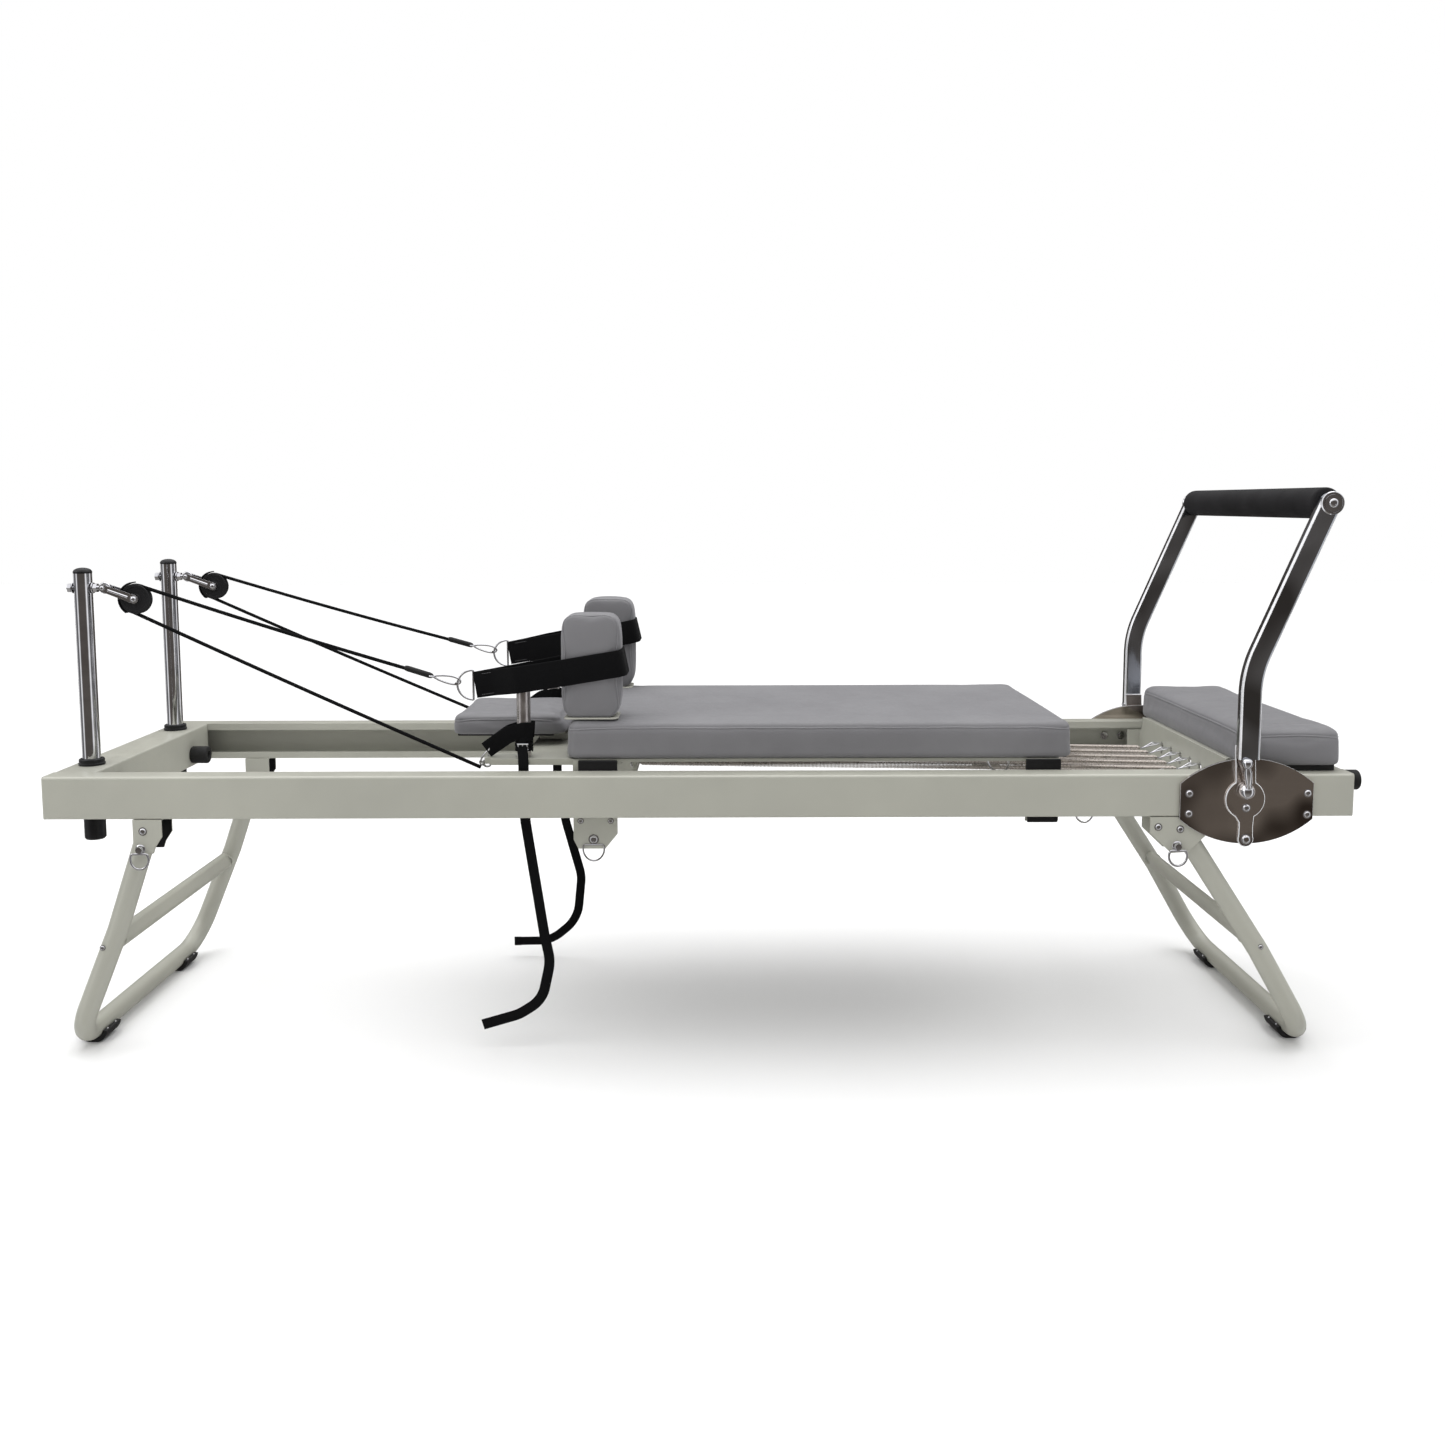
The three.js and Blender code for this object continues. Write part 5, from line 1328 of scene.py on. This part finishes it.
def keyhole(turn, disc):
    """Outline in X and Z: disc, narrow tail down to the pivot, and a neck up into the arm."""
    tail, disc_radius, neck = 14 * MM, 35 * MM, 18 * MM
    arm_x, top = x_at(953), z_at(570)
    waist = 12.5 * MM
    low_angle = math.asin(waist * 1.35 / disc_radius)
    points = [(turn.x + tail * math.cos(t), turn.z + tail * math.sin(t)) for t in
              np.linspace(math.radians(-200), math.radians(20), 19)]
    right = [(disc.x + disc_radius * math.sin(t), disc.z - disc_radius * math.cos(t)) for t in
             np.linspace(low_angle, math.pi - math.asin(neck / disc_radius), 20)]
    left = [(2 * disc.x - a, b) for a, b in reversed(right)]
    waist_right = [(turn.x + waist, turn.z + 22 * MM), (turn.x + waist + 0.6 * MM, turn.z + 30 * MM)]
    waist_left = [(turn.x - waist - 0.6 * MM, turn.z + 30 * MM), (turn.x - waist, turn.z + 22 * MM)]
    return points + waist_right + right + [(arm_x + neck, top), (arm_x - neck, top)] + left + waist_left


def lock_lever(name, side):
    node = f"lock_lever_{name}"
    hub = pivot(f"{node}_turn")
    out = Vector((0, side, 0))
    dome = [(0, 0), (14.5, 0), (15, 1.5), (14.6, 7), (13.4, 12), (10.6, 17), (6.5, 20.5), (0, 21.6)]
    parts = [lathe("dome", in_mm(dome), hub, out, 40)]
    start, end = hub + shift(0, side * 15, 8), hub + shift(-8, side * 26, 50)
    along = (end - start).normalized()
    length = (end - start).length
    shaft = [(0, 0), (6.4, 0), (6, 7), (7.6, 10), (7.8, 31), (6, 35), (6, length / MM), (0, length / MM)]
    parts.append(lathe("shaft", in_mm(shaft), start, along, 28))
    ball = [(9.8 * MM * math.sin(t), -9.8 * MM * math.cos(t)) for t in np.linspace(0, math.pi, 14)]
    parts.append(lathe("ball", ball, end + along * 3 * MM, along, 32))
    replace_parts(settle(joined(f"lever_handle_{name}", parts), node, CHROME), node)


# ------------------------------------------------------------------ bolts and small hardware

def small_hardware():
    for name, side in SIDES:
        out = Vector((0, side, 0))
        plate_face = side * (RAIL_FACE + 5.3 * MM)
        for i, (x, z) in enumerate(((859, 484), (859, 448), (1067, 484), (1067, 446))):
            spot = Vector((x_at(x), plate_face, z_at(z)))
            bolt(f"plate_bolt_{i + 1}_{name}", spot, out, 6, 3.7)
        for i, (x, z, r) in enumerate(((-977, 420, 6), (808, 423, 5.5), (847, 419, 5.5))):
            spot = Vector((x_at(x), side * RAIL_FACE, z_at(z)))
            bolt(f"bracket_bolt_{i + 1}_{name}", spot, out, r, 3.6)
        for i, x in enumerate((886, 923)):
            wall = side * (RAIL_FACE - 3 * MM)
            spot = Vector((x_at(x), wall, z_at(480)))
            hex_nut(f"rail_nut_{i + 1}_{name}", spot, -out, 9, 6, "frame")
            rod = in_mm([(0, 0), (4.6, 0), (4.6, 10), (3.8, 11), (0, 11)])
            settle(lathe(f"rail_stud_{i + 1}_{name}", rod, spot, -out, 20), "frame", CHROME)

        # guide blocks between chassis and rails, hanger bolts and the stop pin with its ring
        for label, x0, x1, z0, z1 in (("head", -217, -147, 511, 535), ("foot", 584, 647, 511, 535.5),
                                      ("stop", 588, 643, 420, 437)):
            guide = block(f"guide_block_{label}_{name}", at(x0, side * 256.2, z0), at(x1, side * 261.5, z1))
            settle(soften(guide, 2 * MM, 3), "carriage", PLASTIC)
        hanger = side * 256 * MM               # outer face of the chassis' hanger plates
        stop = Vector((x_at(-191), hanger, z_at(390)))
        bolt(f"stop_pin_{name}", stop, out, 7.5, 4.5, "carriage")
        ring_top = stop + shift(0, side * 1.2, -17)
        d_ring(f"stop_pin_ring_{name}", ring_top, (0, 0, -1), 38, 1.6, (1, 0, 0), "carriage")
        for i, (x, z) in enumerate(((-214, 424), (-160, 424), (598, 440), (634, 440))):
            spot = Vector((x_at(x), hanger, z_at(z)))
            bolt(f"hanger_bolt_{i + 1}_{name}", spot, out, 4.5, 3, "carriage")
        loop_top = at(540, side * 231, 528)
        d_ring(f"chassis_ring_{name}", loop_top, (0.25, 0, -1), 38, 1.9, (1, 0, 0.1), "carriage")
        # plunger with a pull ring on the rail's lower lip, which parks the carriage
        spot = Vector((x_at(690), side * (RAIL_INNER - 0.2 * MM), z_at(448)))
        bolt(f"park_pin_{name}", spot, -out, 5, 3)
        ring_top = spot + shift(0, -side * 2, -9)
        d_ring(f"park_pin_ring_{name}", ring_top, (0, 0, -1), 32, 1.7, (1, 0, 0), "frame")


# ------------------------------------------------------------------ assemble

for name, side in SIDES:
    rope_post(name)
    pulley_set(name)
    rope_set(name, side)
    hand_loop(name, side)
    stub_rubber(f"head_bumper_{name}", f"bumper_rubber_{name}")
    stub_rubber(f"end_foot_{name}", f"end_rubber_{name}")
    shoulder_cushion(name, side)
    lock_lever(name, side)
    for end in ("head", "foot"):
        track_wheel(end, name, side)
        pull_pin(end, name, side)

strap_tail("near", -1, [(-313, 425), (-282, 212), (-272, 165), (-288, 92), (-330, 66), (-396, 46)])
strap_tail("far", 1, [(-316, 400), (-299, 300), (-266, 180), (-276, 82), (-335, 34), (-415, 32)])
for index in range(5):
    spring_set(index)
for end in ("head", "foot"):
    leg(end)
footbar()
small_hardware()
carriage_cushion()
foot_cushion()
headrest_cushion()


# ------------------------------------------------------------------ stage, light and camera

def studio():
    scene = bpy.context.scene
    scene.view_settings.view_transform = "Standard"
    reach, thick = 14, 0.02
    floor = block("studio_floor", (-reach, -reach, -thick), (reach, reach, 0))
    g = Graph("studio_floor", "floor")
    g.set(Base_Color=(0.8, 0.8, 0.8), Roughness=g.span(g.noise(3), 0.75, 0.85), Specular_IOR_Level=0.1)
    floor.data.materials.append(g.material)
    floor.visible_glossy = False

    world = bpy.data.worlds.new("studio")
    scene.world = world
    world.use_nodes = True
    world.node_tree.nodes.clear()
    g = Nodes(world.node_tree)

    def background(colour, strength):
        made = g.node("ShaderNodeBackground")
        g.feed(made.inputs["Color"], colour)
        g.feed(made.inputs["Strength"], strength)
        return made.outputs[0]

    def either(factor, a, b):
        made = g.node("ShaderNodeMixShader")
        for socket, value in zip(made.inputs, (factor, a, b)):
            g.feed(socket, value)
        return made.outputs[0]

    split = g.node("ShaderNodeSeparateXYZ")
    g.feed(split.inputs[0], g.node("ShaderNodeTexCoord").outputs["Generated"])
    x, y, z = split.outputs
    white = (1.0, 1.0, 1.0)

    # a soft sky, brightest overhead
    horizon, overhead = 0.38, 2.0
    height = g.maths("POWER", g.maths("MAXIMUM", z, 0.0), 2.0)
    soft = background(white, g.maths("ADD", horizon, g.maths("MULTIPLY", height, overhead)))

    # what polished metal sees: bright ends and ceiling, and a dim brown room in front and behind
    squares = g.maths("ADD", g.maths("POWER", x, 2.0), g.maths("POWER", y, 2.0))
    flat = g.maths("MAXIMUM", g.maths("SQRT", squares), 0.001)
    facing = g.maths("DIVIDE", g.maths("ABSOLUTE", y), flat)
    level = g.maths("SUBTRACT", 1.0, g.ramp(z, 0.28, 0.7, smooth=True))
    room = g.maths("MULTIPLY", g.ramp(facing, 0.5, 0.74, smooth=True), level)
    down = g.maths("MULTIPLY", z, -1.0)
    below = g.maths("MULTIPLY", g.ramp(down, 0.05, 0.9, smooth=True), 0.5)
    brown, pale_floor = (0.098, 0.087, 0.079), (0.5, 0.48, 0.45)
    end_wall, corner, ceiling = (0.16, 0.16, 0.165), (1.1, 1.1, 1.12), (1.15, 1.15, 1.18)
    dim = g.mix(below, brown, pale_floor)
    bright = g.mix(g.ramp(facing, 0.25, 0.5, smooth=True), end_wall, corner)
    ends = g.mix(g.ramp(z, 0.1, 0.6, smooth=True), bright, ceiling)
    mirror = background(g.mix(room, ends, dim), 1.0)

    path = g.node("ShaderNodeLightPath")
    lit = either(path.outputs["Is Glossy Ray"], soft, mirror)
    surface = either(path.outputs["Is Camera Ray"], lit, background(white, 1.0))
    g.feed(g.node("ShaderNodeOutputWorld").inputs["Surface"], surface)

    def area(name, place, target, size, power):
        light = bpy.data.lights.new(name, "AREA")
        light.shape = "RECTANGLE"
        light.size, light.size_y = size
        light.energy = power
        obj = bpy.data.objects.new(name, light)
        scene.collection.objects.link(obj)
        obj.location = place
        obj.rotation_euler = (Vector(target) - Vector(place)).to_track_quat("-Z", "Y").to_euler()

    area("ceiling_light", (0, 0.4, 3.6), (0, 0, 0.4), (5.0, 3.0), 42)
    area("head_light", (-3.4, -1.6, 2.2), (0, 0, 0.5), (1.6, 1.6), 16)


def camera():
    """Eye level a little above the machine, square to its side, as in the reference view."""
    data = bpy.data.cameras.new("camera")
    data.sensor_width = 36
    data.lens = 33.63
    data.shift_y = -0.0554
    obj = bpy.data.objects.new("camera", data)
    bpy.context.scene.collection.objects.link(obj)
    obj.location = at(30.9, -2637.4, 991.5)
    pitch_down, roll, yaw = math.radians(5.89), math.radians(0.1), -0.0046
    obj.rotation_euler = (math.pi / 2 - pitch_down, roll, yaw)
    bpy.context.scene.camera = obj


studio()
camera()
